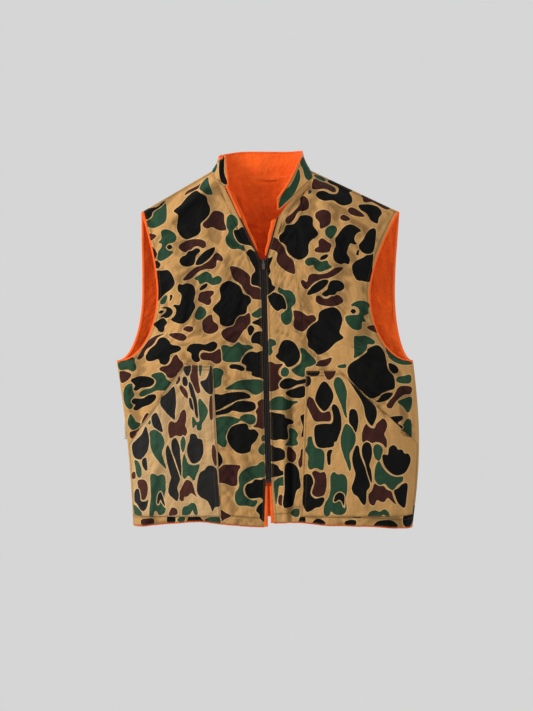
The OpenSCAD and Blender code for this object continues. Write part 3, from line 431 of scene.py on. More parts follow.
RIGHT_POCKET_PRINT = {
    "black": [
        [(-19.9, -44), (-19, -43.5), (-17.6, -42), (-17.2, -43.4), (-17.1, -45.3), (-17.3, -47),
         (-17.3, -48.4), (-18.2, -47.8), (-19.4, -46.5), (-20.1, -45.4)],
        [(-15.7, -38.4), (-14.4, -38), (-14.4, -39.2), (-14.9, -40.2), (-15.6, -39.4)],
        [(-10.7, -37.8), (-10.2, -39), (-10.1, -43.1), (-10.9, -43.5), (-11.8, -42.7), (-12.6, -41.2),
         (-11.5, -40.7), (-10.9, -39.3)],
        [(-15.9, -40.3), (-15.2, -40.3), (-14.9, -41.5), (-15.3, -42.1), (-15.9, -41.6)],
        [(-14.9, -41.3), (-14.3, -41.4), (-13.7, -42.9), (-13.2, -44.8), (-13, -46.8), (-12.9, -48.4),
         (-13.5, -47.4), (-13.9, -45.7), (-14.4, -43.6)],
        [(-14.7, -44.2), (-14.2, -44.4), (-13.8, -46.4), (-14, -46.7), (-14.6, -45.6)],
        [(-21.8, -47.8), (-20.9, -47), (-20.3, -48), (-19.8, -49.5), (-19.6, -50.8), (-20.7, -50.2),
         (-21.5, -49.5)],
        [(-18.7, -53.1), (-18.2, -54), (-17.8, -55.2), (-17.1, -57.3), (-16.4, -59.4), (-16.6, -60.4),
         (-16.9, -61.4), (-16.6, -62.6), (-16.9, -63.8), (-17.6, -63.4), (-18.6, -62.2), (-18.4, -60.4),
         (-18.1, -59.4), (-18.4, -58.4), (-18.9, -56.3), (-19.1, -54.2)],
        [(-18, -52.5), (-17.4, -51.8), (-16.9, -52.2), (-16.4, -53.5), (-16.3, -55.2), (-16.1, -57.3),
         (-16.2, -59.2), (-16.7, -57.8), (-17.4, -55.7), (-17.9, -54.2)],
        [(-14.4, -51.1), (-13.4, -51.1), (-13, -51.9), (-12.3, -52.1), (-12, -53.1), (-12, -54.8),
         (-12.6, -56.1), (-13.6, -56.7), (-14.4, -56.3), (-15, -54.8), (-15, -53.3), (-14.6, -52.3)],
        [(-13.2, -61.6), (-13.1, -60), (-12.6, -58.4), (-11.8, -57.9), (-11.1, -57.1), (-10, -57.2),
         (-9.4, -58), (-9.2, -60), (-8.9, -62.8), (-8.8, -64.7), (-9.8, -65), (-10.2, -65.8),
         (-10.7, -64.7), (-11.3, -63.7), (-12.4, -63.1), (-13, -62.4)],
        [(-20.1, -62), (-19.7, -62.8), (-19.4, -63.9), (-19.1, -65), (-19.8, -64.2), (-20.1, -63.4),
         (-20.5, -64.5), (-20.8, -64), (-20.6, -62.7)],
        [(-22.9, -49.6), (-22.4, -51), (-22.2, -52.4), (-22.5, -54.2), (-23, -55), (-23.8, -56),
         (-25, -56), (-25.7, -55.2), (-25.9, -53.4), (-25, -52.4), (-23.8, -51.2)],
        [(-23.7, -56), (-22.9, -55.6), (-22.7, -56.6), (-22.6, -57.8), (-23, -58.1), (-23.7, -57.1)],
        [(-25.3, -62.2), (-24.5, -61.7), (-24.1, -62.8), (-23.9, -63.9), (-22.9, -63.9), (-22.4, -63.4),
         (-22.7, -65), (-23.3, -65.8), (-24, -65.6), (-24.7, -64.7), (-25.4, -64.1)],
    ],
    "brown": [
        [(-14.2, -38), (-13.1, -37.8), (-13, -39.4), (-12.8, -41.5), (-12.5, -43), (-13.1, -43.4),
         (-13.8, -42.2), (-14.5, -40.4)],
        [(-16.5, -40), (-16.3, -40.8), (-16.8, -41.6), (-17.3, -41.6), (-16.9, -40.8)],
        [(-16.5, -41.7), (-15.7, -42.2), (-15, -43.1), (-14.9, -44.4), (-15.5, -44), (-16.3, -42.9)],
        [(-15.6, -46.4), (-15.2, -47.1), (-15.2, -48.6), (-15.4, -49.4), (-15, -50.5), (-15.3, -51.4),
         (-16.3, -51.5), (-17.3, -51.4), (-18.2, -51.9), (-18.6, -50.5), (-18.5, -49.1), (-18, -48.6),
         (-17.2, -48.9), (-16.6, -48), (-16.2, -46.9)],
        [(-15.6, -60.2), (-15, -59.7), (-14.2, -60.2), (-13.8, -61), (-13.5, -62.2), (-12.9, -63.3),
         (-13.8, -62.6), (-14.3, -62.3), (-15, -63), (-15.6, -63), (-15.7, -63.8), (-16.3, -63.7),
         (-16.8, -62.8), (-16.3, -61.6)],
        [(-10.1, -52.9), (-9.6, -54.2), (-9.5, -57.3), (-10.2, -56.1), (-10.4, -54.2)],
        [(-10.7, -44), (-10.3, -44), (-10.2, -48.2), (-10.7, -48.2), (-10.9, -46)],
        [(-24.7, -60.2), (-23.8, -59.8), (-23, -60), (-22.5, -61.2), (-22.7, -62.8), (-23.3, -63.7),
         (-24, -63.4), (-24.3, -62), (-24.6, -61.2)],
        [(-26.3, -59.6), (-25.7, -58.6), (-25.2, -58.6), (-25.1, -59.6), (-25.6, -60)],
        [(-17.9, -65), (-17.1, -65.2), (-16.9, -66.3), (-18.5, -66.6), (-18.3, -65.6)],
    ],
    "green": [
        [(-12.8, -37.9), (-12.2, -38), (-12.4, -40), (-12.7, -40)],
        [(-12.8, -44.3), (-12, -45), (-11.1, -46.5), (-11.4, -47.9), (-12.2, -49.1), (-12.3, -50.3),
         (-13.1, -50.3), (-13.3, -49.3), (-13.9, -50.1), (-14.1, -49), (-14, -47.6), (-13.2, -48.8),
         (-12.7, -48.4), (-13, -46)],
        [(-22.1, -50.6), (-21, -50.2), (-20.1, -50.7), (-19.4, -52), (-19.3, -53), (-19.8, -54.6),
         (-19.5, -56), (-18.9, -57.9), (-19.9, -56.9), (-21.2, -55.2), (-21.9, -53.7), (-22.1, -52)],
        [(-22.5, -49.2), (-22, -48.3), (-21.9, -49.2)],
        [(-15.8, -51.4), (-15.3, -52.3), (-15.4, -53.6), (-15.8, -54.6), (-16.2, -53.6), (-16.3, -52.4)],
        [(-15.6, -54.8), (-15.2, -55.6), (-14.8, -56.6), (-13.8, -57), (-12.7, -56.8), (-12.9, -58),
         (-13.3, -58.9), (-13.7, -60), (-14.3, -59.4), (-14.9, -58.9), (-15.3, -59.6), (-15.9, -59.2),
         (-16, -57.3), (-15.9, -55.9)],
        [(-22, -58.8), (-21.2, -58.6), (-20.6, -59), (-19.9, -58.7), (-19.2, -59.2), (-19.1, -61.6),
         (-19.4, -63.2), (-19.1, -65.2), (-19.4, -66.2), (-20.4, -66.5), (-20.9, -65.7), (-21.3, -66),
         (-21.6, -67), (-22.2, -66.8), (-22.2, -65), (-21.9, -62.8), (-22, -61)],
        [(-25.4, -56.3), (-24.5, -56.5), (-23.9, -57.8), (-23.8, -59.1), (-24.4, -59.6), (-25, -58.8),
         (-25.2, -57.5)],
        [(-25.7, -64.9), (-24.5, -65.3), (-23.7, -66.2), (-23.9, -67.8), (-25, -67.8), (-25.5, -66.3)],
        [(-15.8, -64.9), (-15, -64.7), (-14.2, -64.1), (-13.4, -64.5), (-13, -66.3), (-13.7, -66.3),
         (-14, -65.4), (-14.5, -66.3), (-16, -66.4)],
    ],
}

LEFT_POCKET_PRINT = {
    "black": [
        [(7.6, -38.4), (9.3, -38.3), (10.1, -39.1), (9.9, -39.9), (8.9, -40.2), (7.6, -40)],
        [(7.2, -40.2), (8.2, -40.2), (8.5, -41), (8.1, -41.9), (7.2, -42.1)],
        [(10.8, -41.1), (11.6, -41.5), (12.6, -43.2), (12.6, -44.6), (11.8, -46.1), (10.9, -46.8),
         (10, -46), (9.2, -44.6), (9.5, -43.1), (10.1, -41.8)],
        [(12.7, -45.4), (13.5, -45.9), (14.1, -47.6), (14.2, -49.7), (13.7, -51.4), (13.2, -52.6),
         (12.8, -52.4), (12.7, -53.4), (11.4, -53.7), (10.1, -53.7), (9.3, -52.9), (9, -50.6),
         (9.4, -49.4), (11, -49.1), (12.4, -49), (12.6, -47.4), (12.3, -46.2)],
        [(15.8, -46.5), (17, -46.6), (17.4, -48.6), (17.1, -50.4), (16.8, -50.8), (16.3, -49.8),
         (15.6, -48.8)],
        [(14.6, -39.5), (15.4, -40.7), (17.4, -42.4), (18.4, -43.7), (19.8, -44.8), (20.7, -46),
         (20.9, -47.6), (20.3, -49.2), (19.8, -49.5), (18.8, -48), (18.4, -45.9), (17.7, -44.3),
         (16.6, -42.6)],
        [(16.9, -53.3), (17.5, -53.4), (17.7, -54.8), (18.2, -56.2), (18.9, -58), (19.6, -60.4),
         (19.5, -61.3), (19, -62), (18.9, -64), (18.5, -64.6), (17.9, -64), (17.3, -63), (16.5, -62.4),
         (16.1, -61.3), (16.5, -60), (16.8, -58.6), (16.4, -57.2), (16.2, -55.4)],
        [(18.8, -52.6), (19.6, -52.8), (20, -54), (19.9, -55.6), (19.5, -57), (19.9, -58.2), (20, -60.4),
         (19.5, -59.6), (18.7, -56.8), (18.1, -55), (18.1, -53.4)],
        [(21.9, -55.4), (22.2, -54.9), (23, -55), (23.2, -53.8), (23.9, -53.2), (24.6, -53.4),
         (25, -54.1), (26, -54.2), (26.4, -55), (27.2, -55), (27.7, -56), (27.4, -57.2), (26.6, -58.5),
         (25.5, -59), (24.3, -58.9), (23, -58), (22.2, -56.8)],
        [(24.2, -61.9), (25, -61.5), (26, -60.7), (27, -60.8), (26.8, -63.4), (26.4, -65.3),
         (25.3, -64.6), (24.7, -63.6)],
        [(12.7, -63.8), (13.1, -62.6), (13.9, -62.1), (14.7, -62.6), (14.8, -63.8), (14.7, -65),
         (14.3, -64), (13.8, -63.5), (13.1, -63.9)],
        [(7, -59.1), (7.8, -58.6), (8.5, -59), (8.9, -60.2), (8.5, -61.4), (8.4, -62.6), (9.3, -63.3),
         (10.7, -63), (11, -63.6), (10.3, -64.8), (9.3, -65.1), (8.4, -65.7), (7.5, -65.8), (6.8, -64),
         (7, -61.5)],
        [(11.4, -54.8), (11.8, -54.1), (12.6, -54.1), (12.2, -55), (12.1, -56.8), (11.6, -56.8)],
    ],
    "brown": [
        [(10.9, -38.8), (13.1, -38.6), (12.8, -40.1), (11.8, -40.9), (11.2, -40.2)],
        [(7.9, -44.1), (8.5, -44.1), (9.1, -44.8), (9.7, -46.1), (10.6, -47), (11.8, -46.7),
         (12.2, -47.4), (12.1, -48.6), (10.6, -48.7), (9.1, -48.6), (8.2, -46.9), (7.6, -45.5)],
        [(18.8, -49.1), (19.4, -49.7), (20.4, -50), (20.8, -49.2), (21.5, -48.5), (22.2, -48.1),
         (22.9, -49.1), (22.7, -50.2), (22.3, -51.2), (22.8, -52.2), (22.7, -53.8), (21.9, -52.9),
         (20.8, -52.6), (19.9, -52.8), (19, -52.3), (18.2, -52.8), (18.1, -50.8)],
        [(19.4, -62.4), (20, -61.8), (20.5, -60.5), (21.3, -60.9), (22.2, -60.9), (22.8, -61.6),
         (23.7, -62), (24.1, -63.2), (24.7, -64.6), (23.9, -64), (23, -63.2), (22.4, -64), (21.5, -63.9),
         (21, -63.6), (20.4, -64.7), (19.6, -64.3), (19.3, -63.2)],
        [(8.6, -58.4), (9.3, -58), (10.1, -58.4), (11.1, -58.3), (11.4, -60), (11.3, -61.5),
         (10.8, -62.7), (9.5, -63), (8.6, -62.3), (8.9, -61), (9.1, -59.8)],
    ],
    "green": [
        [(13, -40.5), (13.8, -40.3), (14.6, -41.2), (15.2, -43), (15.1, -44.8), (15.1, -46.4),
         (15.3, -48.2), (14.8, -47.6), (14.1, -45.5), (13.2, -43.4), (12.7, -41.7)],
        [(14.9, -49.2), (15.8, -49.5), (16.7, -50.7), (16.9, -52.4), (16.3, -53.8), (15.7, -55),
         (16, -57), (15.8, -58.3), (15.2, -56.8), (14.6, -55.2), (14.1, -53.4), (14.1, -51.5)],
        [(20.5, -53.2), (21.2, -53), (22, -53.8), (21.9, -54.9), (21.5, -56), (20.8, -56), (20.4, -55.2),
         (20.2, -54)],
        [(20.8, -56.8), (21.4, -56.2), (21.8, -57), (22.5, -58), (23.6, -58.9), (24.9, -59.3),
         (26.1, -59.3), (26, -60.2), (24.9, -60.9), (24.1, -61.8), (23.2, -61.4), (22.4, -60.5),
         (21.7, -60.8), (21, -60.5), (20.5, -59.6), (20.5, -58)],
        [(12.1, -59.1), (12.7, -58.2), (13.5, -58.7), (14.4, -58.6), (15.2, -59.4), (15.3, -61.8),
         (15, -63.4), (15.2, -65.2), (14.7, -66.2), (13.5, -66.4), (12.6, -66.1), (12.2, -65.4),
         (12, -66.4), (11.2, -66.7), (10.8, -65.8), (11.1, -64.2), (11.8, -63), (12.1, -61.5)],
        [(7.8, -51.8), (8.6, -51.5), (8.8, -52.6), (9.4, -53.7), (10.4, -53.9), (11, -54.8), (10.9, -57),
         (10.6, -58), (9.3, -57.5), (8.2, -57.9), (7.8, -56.8), (7.9, -55.2), (7.3, -54.2), (7.7, -53)],
        [(18, -67.6), (19, -66.9), (19.6, -65.9), (20.7, -65.6), (21.5, -65.9), (22.4, -65.4),
         (23.3, -66.1), (23.6, -67.6), (22.9, -67.6), (22.6, -66.6), (22, -66.6), (21.4, -67.6)],
    ],
}

COLLAR_PRINT = {
    "black": [
        [(-8.9, 1.2), (-8.1, 1.8), (-8, .2), (-8, -1.6), (-7.4, -3.4), (-7.8, -3.8), (-8.6, -3.2),
         (-9, -1.4)],
    ],
    "brown": [
        [(-9.5, -4), (-9, -3.6), (-8.9, -4.3)],
    ],
    "green": [
        [(6.1, -.9), (6.4, -2.5), (6, -4), (5.2, -5.6), (3.8, -7), (2.6, -8.2), (2.2, -8.1), (2.6, -6.5),
         (3.4, -5), (4.4, -4.2), (5.3, -2.6)],
        [(6.4, 1), (7.2, 1.8), (8.2, .6), (8.9, -1), (8.7, -2.3), (8, -3), (7.3, -2.5), (6.9, -1),
         (6.4, 0)],
        [(-10.6, .6), (-9.8, 1), (-9.4, 0), (-9.8, -1.2), (-10.6, -.8)],
    ],
}
# The chest's shapes are turned by this angle and then moved by this much, in centimetres.
CHEST_TURN = math.radians(171.7)
CHEST_MOVE = np.array([-4.229, -38.787])
COLOURS = ("black", "brown", "green")
PRINT_LAYERS = ("brown", "green", "black", "black_over")
FAR_OUTSIDE = -8.0       # print field, in millimetres, away from every shape


# ---- small helpers -------------------------------------------------------------------------------

def mix(a, b, t):
    return a + (b - a) * t


def ease(t):
    t = np.clip(t, 0, 1)
    return t * t * (3 - 2 * t)


def curve_through(points, per_span=8, closed=False):
    """Smooth curve through the points."""
    p = np.array(points, float)
    n = len(p)
    spans = n if closed else n - 1
    f = np.linspace(0, 1, per_span, endpoint=False)[:, None]
    made = []
    for i in range(spans):
        near = [i - 1, i, i + 1, i + 2]
        near = [j % n for j in near] if closed else [min(max(j, 0), n - 1) for j in near]
        a, b, c, d = p[near]
        made.append(0.5 * (2 * b + (c - a) * f + (2 * a - 5 * b + 4 * c - d) * f ** 2
                           + (3 * b - a - 3 * c + d) * f ** 3))
    if not closed:
        made.append(p[-1:])
    return np.concatenate(made)


def even_points(curve, count):
    """count points at even distances along a curve."""
    curve = np.array(curve, float)
    steps = np.linalg.norm(np.diff(curve, axis=0), axis=1)
    place = np.concatenate([[0], np.cumsum(steps)])
    wanted = np.linspace(0, place[-1], count)
    return np.stack([np.interp(wanted, place, curve[:, i]) for i in range(curve.shape[1])], 1)


def joined(first, second):
    return np.concatenate([first, second[1:]])


def filled(top, bottom, inner, outer):
    """Grid of points between four edges: rows run down and columns run from inner to outer."""
    v = np.linspace(0, 1, len(inner))[:, None, None]
    u = np.linspace(0, 1, len(top))[None, :, None]
    across = (1 - u) * inner[:, None] + u * outer[:, None]
    down = (1 - v) * top[None] + v * bottom[None]
    corners = ((1 - u) * (1 - v) * top[0] + u * (1 - v) * top[-1]
               + (1 - u) * v * bottom[0] + u * v * bottom[-1])
    return across + down - corners


def line_distances(grid):
    """Distance of every grid point from the first and the last row, along its column."""
    steps = np.linalg.norm(np.diff(grid, axis=0), axis=2)
    from_first = np.concatenate([np.zeros((1, grid.shape[1])), np.cumsum(steps, 0)])
    return from_first, from_first[-1] - from_first


def edge_distances(grid):
    """Distances from the top, bottom, inner and outer edge."""
    top, bottom = line_distances(grid)
    inner, outer = line_distances(grid.transpose(1, 0, 2))
    return top, bottom, inner.T, outer.T


def inset_path(grid, edge, inset):
    """Points on the cloth at one distance from one of its edges."""
    lines = {
        "top": grid,
        "bottom": grid[::-1],
        "inner": grid.transpose(1, 0, 2),
        "outer": grid.transpose(1, 0, 2)[::-1],
    }[edge]
    place = line_distances(lines)[0]
    return np.array([
        [np.interp(inset, place[:, j], lines[:, j, axis]) for axis in range(3)]
        for j in range(lines.shape[1])
    ])


def finer(values, times):
    """Smoothly filled-in copy of a coarse grid of numbers."""
    return curve_through(curve_through(values, times).T, times).T


# ---- outline of the garment ----------------------------------------------------------------------

def armhole_half(k, drop, narrow):
    up = np.clip((NARROW_DROP - drop) / (NARROW_DROP - TIP_DROP), 0, 1)
    down = np.clip((drop - NARROW_DROP) / (UNDERARM_DROP - NARROW_DROP), 0, 1)
    upper = narrow + (TIP_HALF[k] - narrow) * up ** 1.6
    lower = narrow + (UNDERARM_HALF[k] - narrow) * (1 - np.sqrt(1 - down ** 2))
    return np.where(drop < NARROW_DROP, upper, lower)


def side_half(k, drop):
    t = np.clip((drop - UNDERARM_DROP) / (FRONT_DROP - UNDERARM_DROP), 0, 1)
    return mix(UNDERARM_HALF[k], HEM_HALF[k], t) + SIDE_BOW[k] * np.sin(math.pi * t)


def outer_half(k, drop, narrow):
    return np.where(drop < UNDERARM_DROP, armhole_half(k, drop, narrow), side_half(k, drop))


def armhole_stand(drop):
    """How far an armhole's edge stands away from the seam plane."""
    t = np.clip((drop - TIP_DROP) / (UNDERARM_DROP - TIP_DROP), 0, 1)
    return ARMHOLE_OPEN * np.sin(math.pi * t)


def fold_half(k, drop):
    return mix(FOLD_TOP_HALF[k], FOLD_HEM_HALF, (drop - FOLD_TOP_DROP) / (FRONT_DROP - FOLD_TOP_DROP))


def chain_at(drop):
    return mix(CHAIN_X[0], CHAIN_X[1], (drop - CHAIN_TOP_DROP) / (BOX_DROP - CHAIN_TOP_DROP))


def outer_drops(last):
    """Even rows down the armhole and then down the side seam."""
    dense = mix(TIP_DROP, UNDERARM_DROP, np.sin(np.linspace(0, math.pi / 2, 200)))
    arm = even_points(np.stack([armhole_half(RIGHT, dense, CHEST_HALF[RIGHT]), dense], 1), ROWS_ARM + 1)
    return np.concatenate([arm[:, 1], np.linspace(UNDERARM_DROP, last, ROWS_SIDE + 1)[1:]])


# ---- fronts --------------------------------------------------------------------------------------

def front_edge(k, top=NECK_END):
    """Corners down the edge along the zipper."""
    return [
        top[k],
        (chain_at(CHAIN_TOP_DROP) + SIGN[k] * EDGE_HALF, -CHAIN_TOP_DROP),
        (chain_at(BOX_DROP) + SIGN[k] * EDGE_HALF, -BOX_DROP - 6),
        HEM_END[k],
    ]


def front_outline(k):
    """Top, bottom, inner and outer edge of a front, as X and Z."""
    s = SIGN[k]
    base = COLLAR_BASE[:4] if k == RIGHT else COLLAR_BASE[8:]
    neck = [NECK_EDGE[k]] + [(x, z) for x, _, z in (base[1:-1] if k == RIGHT else base[::-1][1:-1])]
    neck = curve_through(neck + [(s * NECK_HALF[k], -NECK_DROP)])
    shoulder = [(s * NECK_HALF[k], -NECK_DROP), (s * TIP_HALF[k], -TIP_DROP)]
    neck_cols = NECK_COLS[k]
    top = joined(even_points(neck, neck_cols + 1), even_points(shoulder, COLS - neck_cols + 1))
    drops = outer_drops(-FRONT_HEM[k][-1][1])
    outer = np.stack([s * outer_half(k, drops, CHEST_HALF[k]), -drops], 1)
    inner = even_points(front_edge(k, NECK_EDGE), len(outer))
    bottom = even_points(curve_through(FRONT_HEM[k]), COLS + 1)
    return top, bottom, inner, outer


def front_y(k, x, drop):
    """Depth of a front behind both plies: flat in the middle, curving back to its seams."""
    half = np.abs(x)
    fold = fold_half(k, drop)
    outer = outer_half(k, drop, CHEST_HALF[k])
    w = np.clip((half - fold) / np.maximum(outer - fold, 1), 0, 1)
    shoulder = mix(NECK_DROP, TIP_DROP, np.clip((half - NECK_HALF[k]) / (TIP_HALF[k] - NECK_HALF[k]), 0, 1))
    reach = mix(26, 80, np.clip((half - FOLD_TOP_HALF[k]) / (TIP_HALF[k] - FOLD_TOP_HALF[k]), 0, 1))
    below = ease((drop - shoulder) / reach)
    return mix(-SEAM_GAP - armhole_stand(drop), INNER_Y, (1 - w * w) * below)


def hanging_folds(k, x, z):
    """Height of the listed folds of a front."""
    height = np.zeros_like(x)
    for x0, z0, x1, z1, half, rise in HANGING_FOLDS[k]:
        run = np.array([x1 - x0, z1 - z0], float)
        t = np.clip(((x - x0) * run[0] + (z - z0) * run[1]) / (run @ run), 0, 1)
        away = np.hypot(x - x0 - t * run[0], z - z0 - t * run[1])
        ends = ease(4 * np.minimum(t, 0.25)) * ease(6 * (1 - t) + 0.35)
        height += rise * np.exp(-(away / half) ** 2) * ends
    return height


def front_grid(k):
    """Middle of a front's cloth before the drape."""
    flat = filled(*front_outline(k))
    x, z = flat[..., 0], flat[..., 1]
    return np.stack([x, front_y(k, x, -z), z], 2)


# ---- back ----------------------------------------------------------------------------------------

def back_half_grid(k):
    """Half of the back, columns from the middle out to the side."""
    drop = outer_drops(BACK_DROP)[:, None]
    u = np.linspace(0, 1, COLS + 1)[None, :]
    f = (drop - TIP_DROP) / (BACK_DROP - TIP_DROP)
    half = u * TIP_HALF[k]
    edge_y = SEAM_GAP + armhole_stand(drop)
    neck_y = SEAM_GAP + COLLAR_DEPTH * np.sqrt(np.clip(1 - (half / NECK_HALF[k]) ** 2, 0, 1))
    body_y = mix(edge_y, BACK_DEPTH, 1 - u ** 3)
    top = np.where(
        half > NECK_HALF[k],
        mix(NECK_DROP, TIP_DROP, (half - NECK_HALF[k]) / (TIP_HALF[k] - NECK_HALF[k])),
        NECK_DROP + BACK_NECK_DIP * (1 - (half / NECK_HALF[k]) ** 2),
    )
    x = SIGN[k] * u * outer_half(k, drop, BACK_HALF[k])
    y = mix(neck_y, body_y, ease(5 * f))
    return np.stack([x, y, -mix(top, BACK_DROP, f)], 2)


def back_grid():
    """The whole back, columns from -X to +X."""
    return np.concatenate([back_half_grid(RIGHT)[:, :0:-1], back_half_grid(LEFT)], 1)


# ---- drape ---------------------------------------------------------------------------------------

def draped(grid, held):
    """Lets the cloth of a coarse grid hang: how far every point moves in Y. held is 1 where it is sewn."""
    rows, cols = grid.shape[:2]
    mesh = bpy.data.meshes.new("cloth_at_work")
    faces = [
        (i * cols + j, i * cols + j + 1, (i + 1) * cols + j + 1, (i + 1) * cols + j)
        for i in range(rows - 1) for j in range(cols - 1)
    ]
    mesh.from_pydata((grid.reshape(-1, 3) / 1000).tolist(), [], faces)
    cloth = bpy.data.objects.new("cloth_at_work", mesh)
    bpy.context.scene.collection.objects.link(cloth)
    sewn = cloth.vertex_groups.new(name="sewn")
    for i, weight in enumerate(held.ravel()):
        if weight > 0:
            sewn.add([i], float(weight), "REPLACE")
    modifier = cloth.modifiers.new("drape", "CLOTH")
    settings = modifier.settings
    settings.vertex_group_mass = "sewn"
    settings.quality = 6
    settings.mass = 0.002
    settings.tension_stiffness = 12
    settings.compression_stiffness = 12
    settings.shear_stiffness = 4
    settings.bending_stiffness = 0.05
    settings.air_damping = 2
    settings.shrink_min = -SPARE_CLOTH
    modifier.collision_settings.use_collision = False
    modifier.point_cache.frame_start = 1
    modifier.point_cache.frame_end = DRAPE_FRAMES
    scene = bpy.context.scene
    for number in range(1, DRAPE_FRAMES + 1):
        scene.frame_set(number)
    shown = cloth.evaluated_get(bpy.context.evaluated_depsgraph_get())
    settled = np.empty(rows * cols * 3, np.float32)
    shown.data.vertices.foreach_get("co", settled)
    bpy.data.objects.remove(cloth)
    scene.frame_set(1)
    return settled.reshape(rows, cols, 3)[..., 1] * 1000 - grid[..., 1]


def sewn_edges(rows, cols, edges):
    held = np.zeros((rows, cols))
    places = {
        "top": np.s_[0, :],
        "bottom": np.s_[-1, :],
        "inner": np.s_[:, 0],
        "outer": np.s_[:, -1],
    }
    for edge in edges:
        held[places[edge]] = 1
    return held


def drape_of(grid, edges, most):
    """Drape of the shown cloth: worked out on a coarse copy, kept below most millimetres."""
    coarse = grid[::COARSE, ::COARSE]
    moved = draped(coarse, sewn_edges(*coarse.shape[:2], edges))
    return finer(most * np.tanh(moved / most), COARSE)


# ---- print ---------------------------------------------------------------------------------------

def turned(shapes):
    turn = np.array([
        [math.cos(CHEST_TURN), -math.sin(CHEST_TURN)],
        [math.sin(CHEST_TURN), math.cos(CHEST_TURN)],
    ])
    return {c: [np.array(shape) @ turn.T + CHEST_MOVE for shape in shapes[c]] for c in COLOURS}


def together(*prints):
    return {c: [shape for shapes in prints for shape in shapes[c]] for c in COLOURS}


def add_shape(field, points, shape):
    """Raises a field to the distance inside one closed shape, in millimetres; outside is negative."""
    outline = curve_through(np.array(shape) * 10, 5, closed=True)
    low = outline.min(0) + FAR_OUTSIDE
    high = outline.max(0) - FAR_OUTSIDE
    near = np.all((points > low) & (points < high), 1)
    if not near.any():
        return
    p = points[near][:, None]
    a = outline[None]
    b = np.roll(outline, -1, 0)[None]
    run = b - a
    t = np.clip(((p - a) * run).sum(2) / np.maximum((run ** 2).sum(2), 1e-9), 0, 1)
    away = np.linalg.norm(p - a - t[..., None] * run, axis=2).min(1)
    crosses = (a[..., 1] > p[..., 1]) != (b[..., 1] > p[..., 1])
    rise = np.where(np.abs(run[..., 1]) < 1e-9, 1e-9, run[..., 1])
    at = a[..., 0] + (p[..., 1] - a[..., 1]) / rise * run[..., 0]
    inside = (crosses & (p[..., 0] < at)).sum(1) % 2 == 1
    field[near] = np.maximum(field[near], np.where(inside, away, -away))


def in_two_layers(shapes):
    """Splits shapes so that neighbours lie in different layers and keep a pale line between them."""
    under, over = [], []
    for shape in shapes:
        low, high = np.min(shape, 0), np.max(shape, 0)
        meets = any(np.all(np.min(o, 0) < high + 0.3) and np.all(np.max(o, 0) > low - 0.3) for o in under)
        (over if meets else under).append(shape)
    return under, over


def print_fields(points, shapes):
    """One field per layer of the print, for points given as X and Z in millimetres."""
    under, over = in_two_layers(shapes["black"])
    layers = {"brown": shapes["brown"], "green": shapes["green"], "black": under, "black_over": over}
    fields = {}
    for layer in PRINT_LAYERS:
        field = np.full(len(points), FAR_OUTSIDE)
        for shape in layers[layer]:
            add_shape(field, points, shape)
        fields["print_" + layer] = field
    return fields


FRONT_PRINT = [together(CHEST_PRINT, RIGHT_FRONT_PRINT), together(turned(CHEST_PRINT), LEFT_FRONT_PRINT)]
POCKET_PRINT = [RIGHT_POCKET_PRINT, LEFT_POCKET_PRINT]
WHOLE_PRINT = together(*FRONT_PRINT, *POCKET_PRINT)


def back_shapes():
    """The print of the back, which the photo doesn't show: the fronts' print upside down.

    The fronts have no cloth in their armholes, so the back's lower corners repeat the fronts' own."""
    upside_down = {
        c: [np.array(shape) * [1, -1] + [-0.4 * np.sign(shape[0][0]), -70] for shape in WHOLE_PRINT[c]]
        for c in COLOURS
    }
    corners = {
        c: [shape for shape in WHOLE_PRINT[c]
            if abs(np.mean(shape, 0)[0]) > 20.5 and -62 < np.mean(shape, 0)[1] < -35]
        for c in COLOURS
    }
    return together(upside_down, corners)


BACK_PRINT = back_shapes()


# ---- meshes --------------------------------------------------------------------------------------

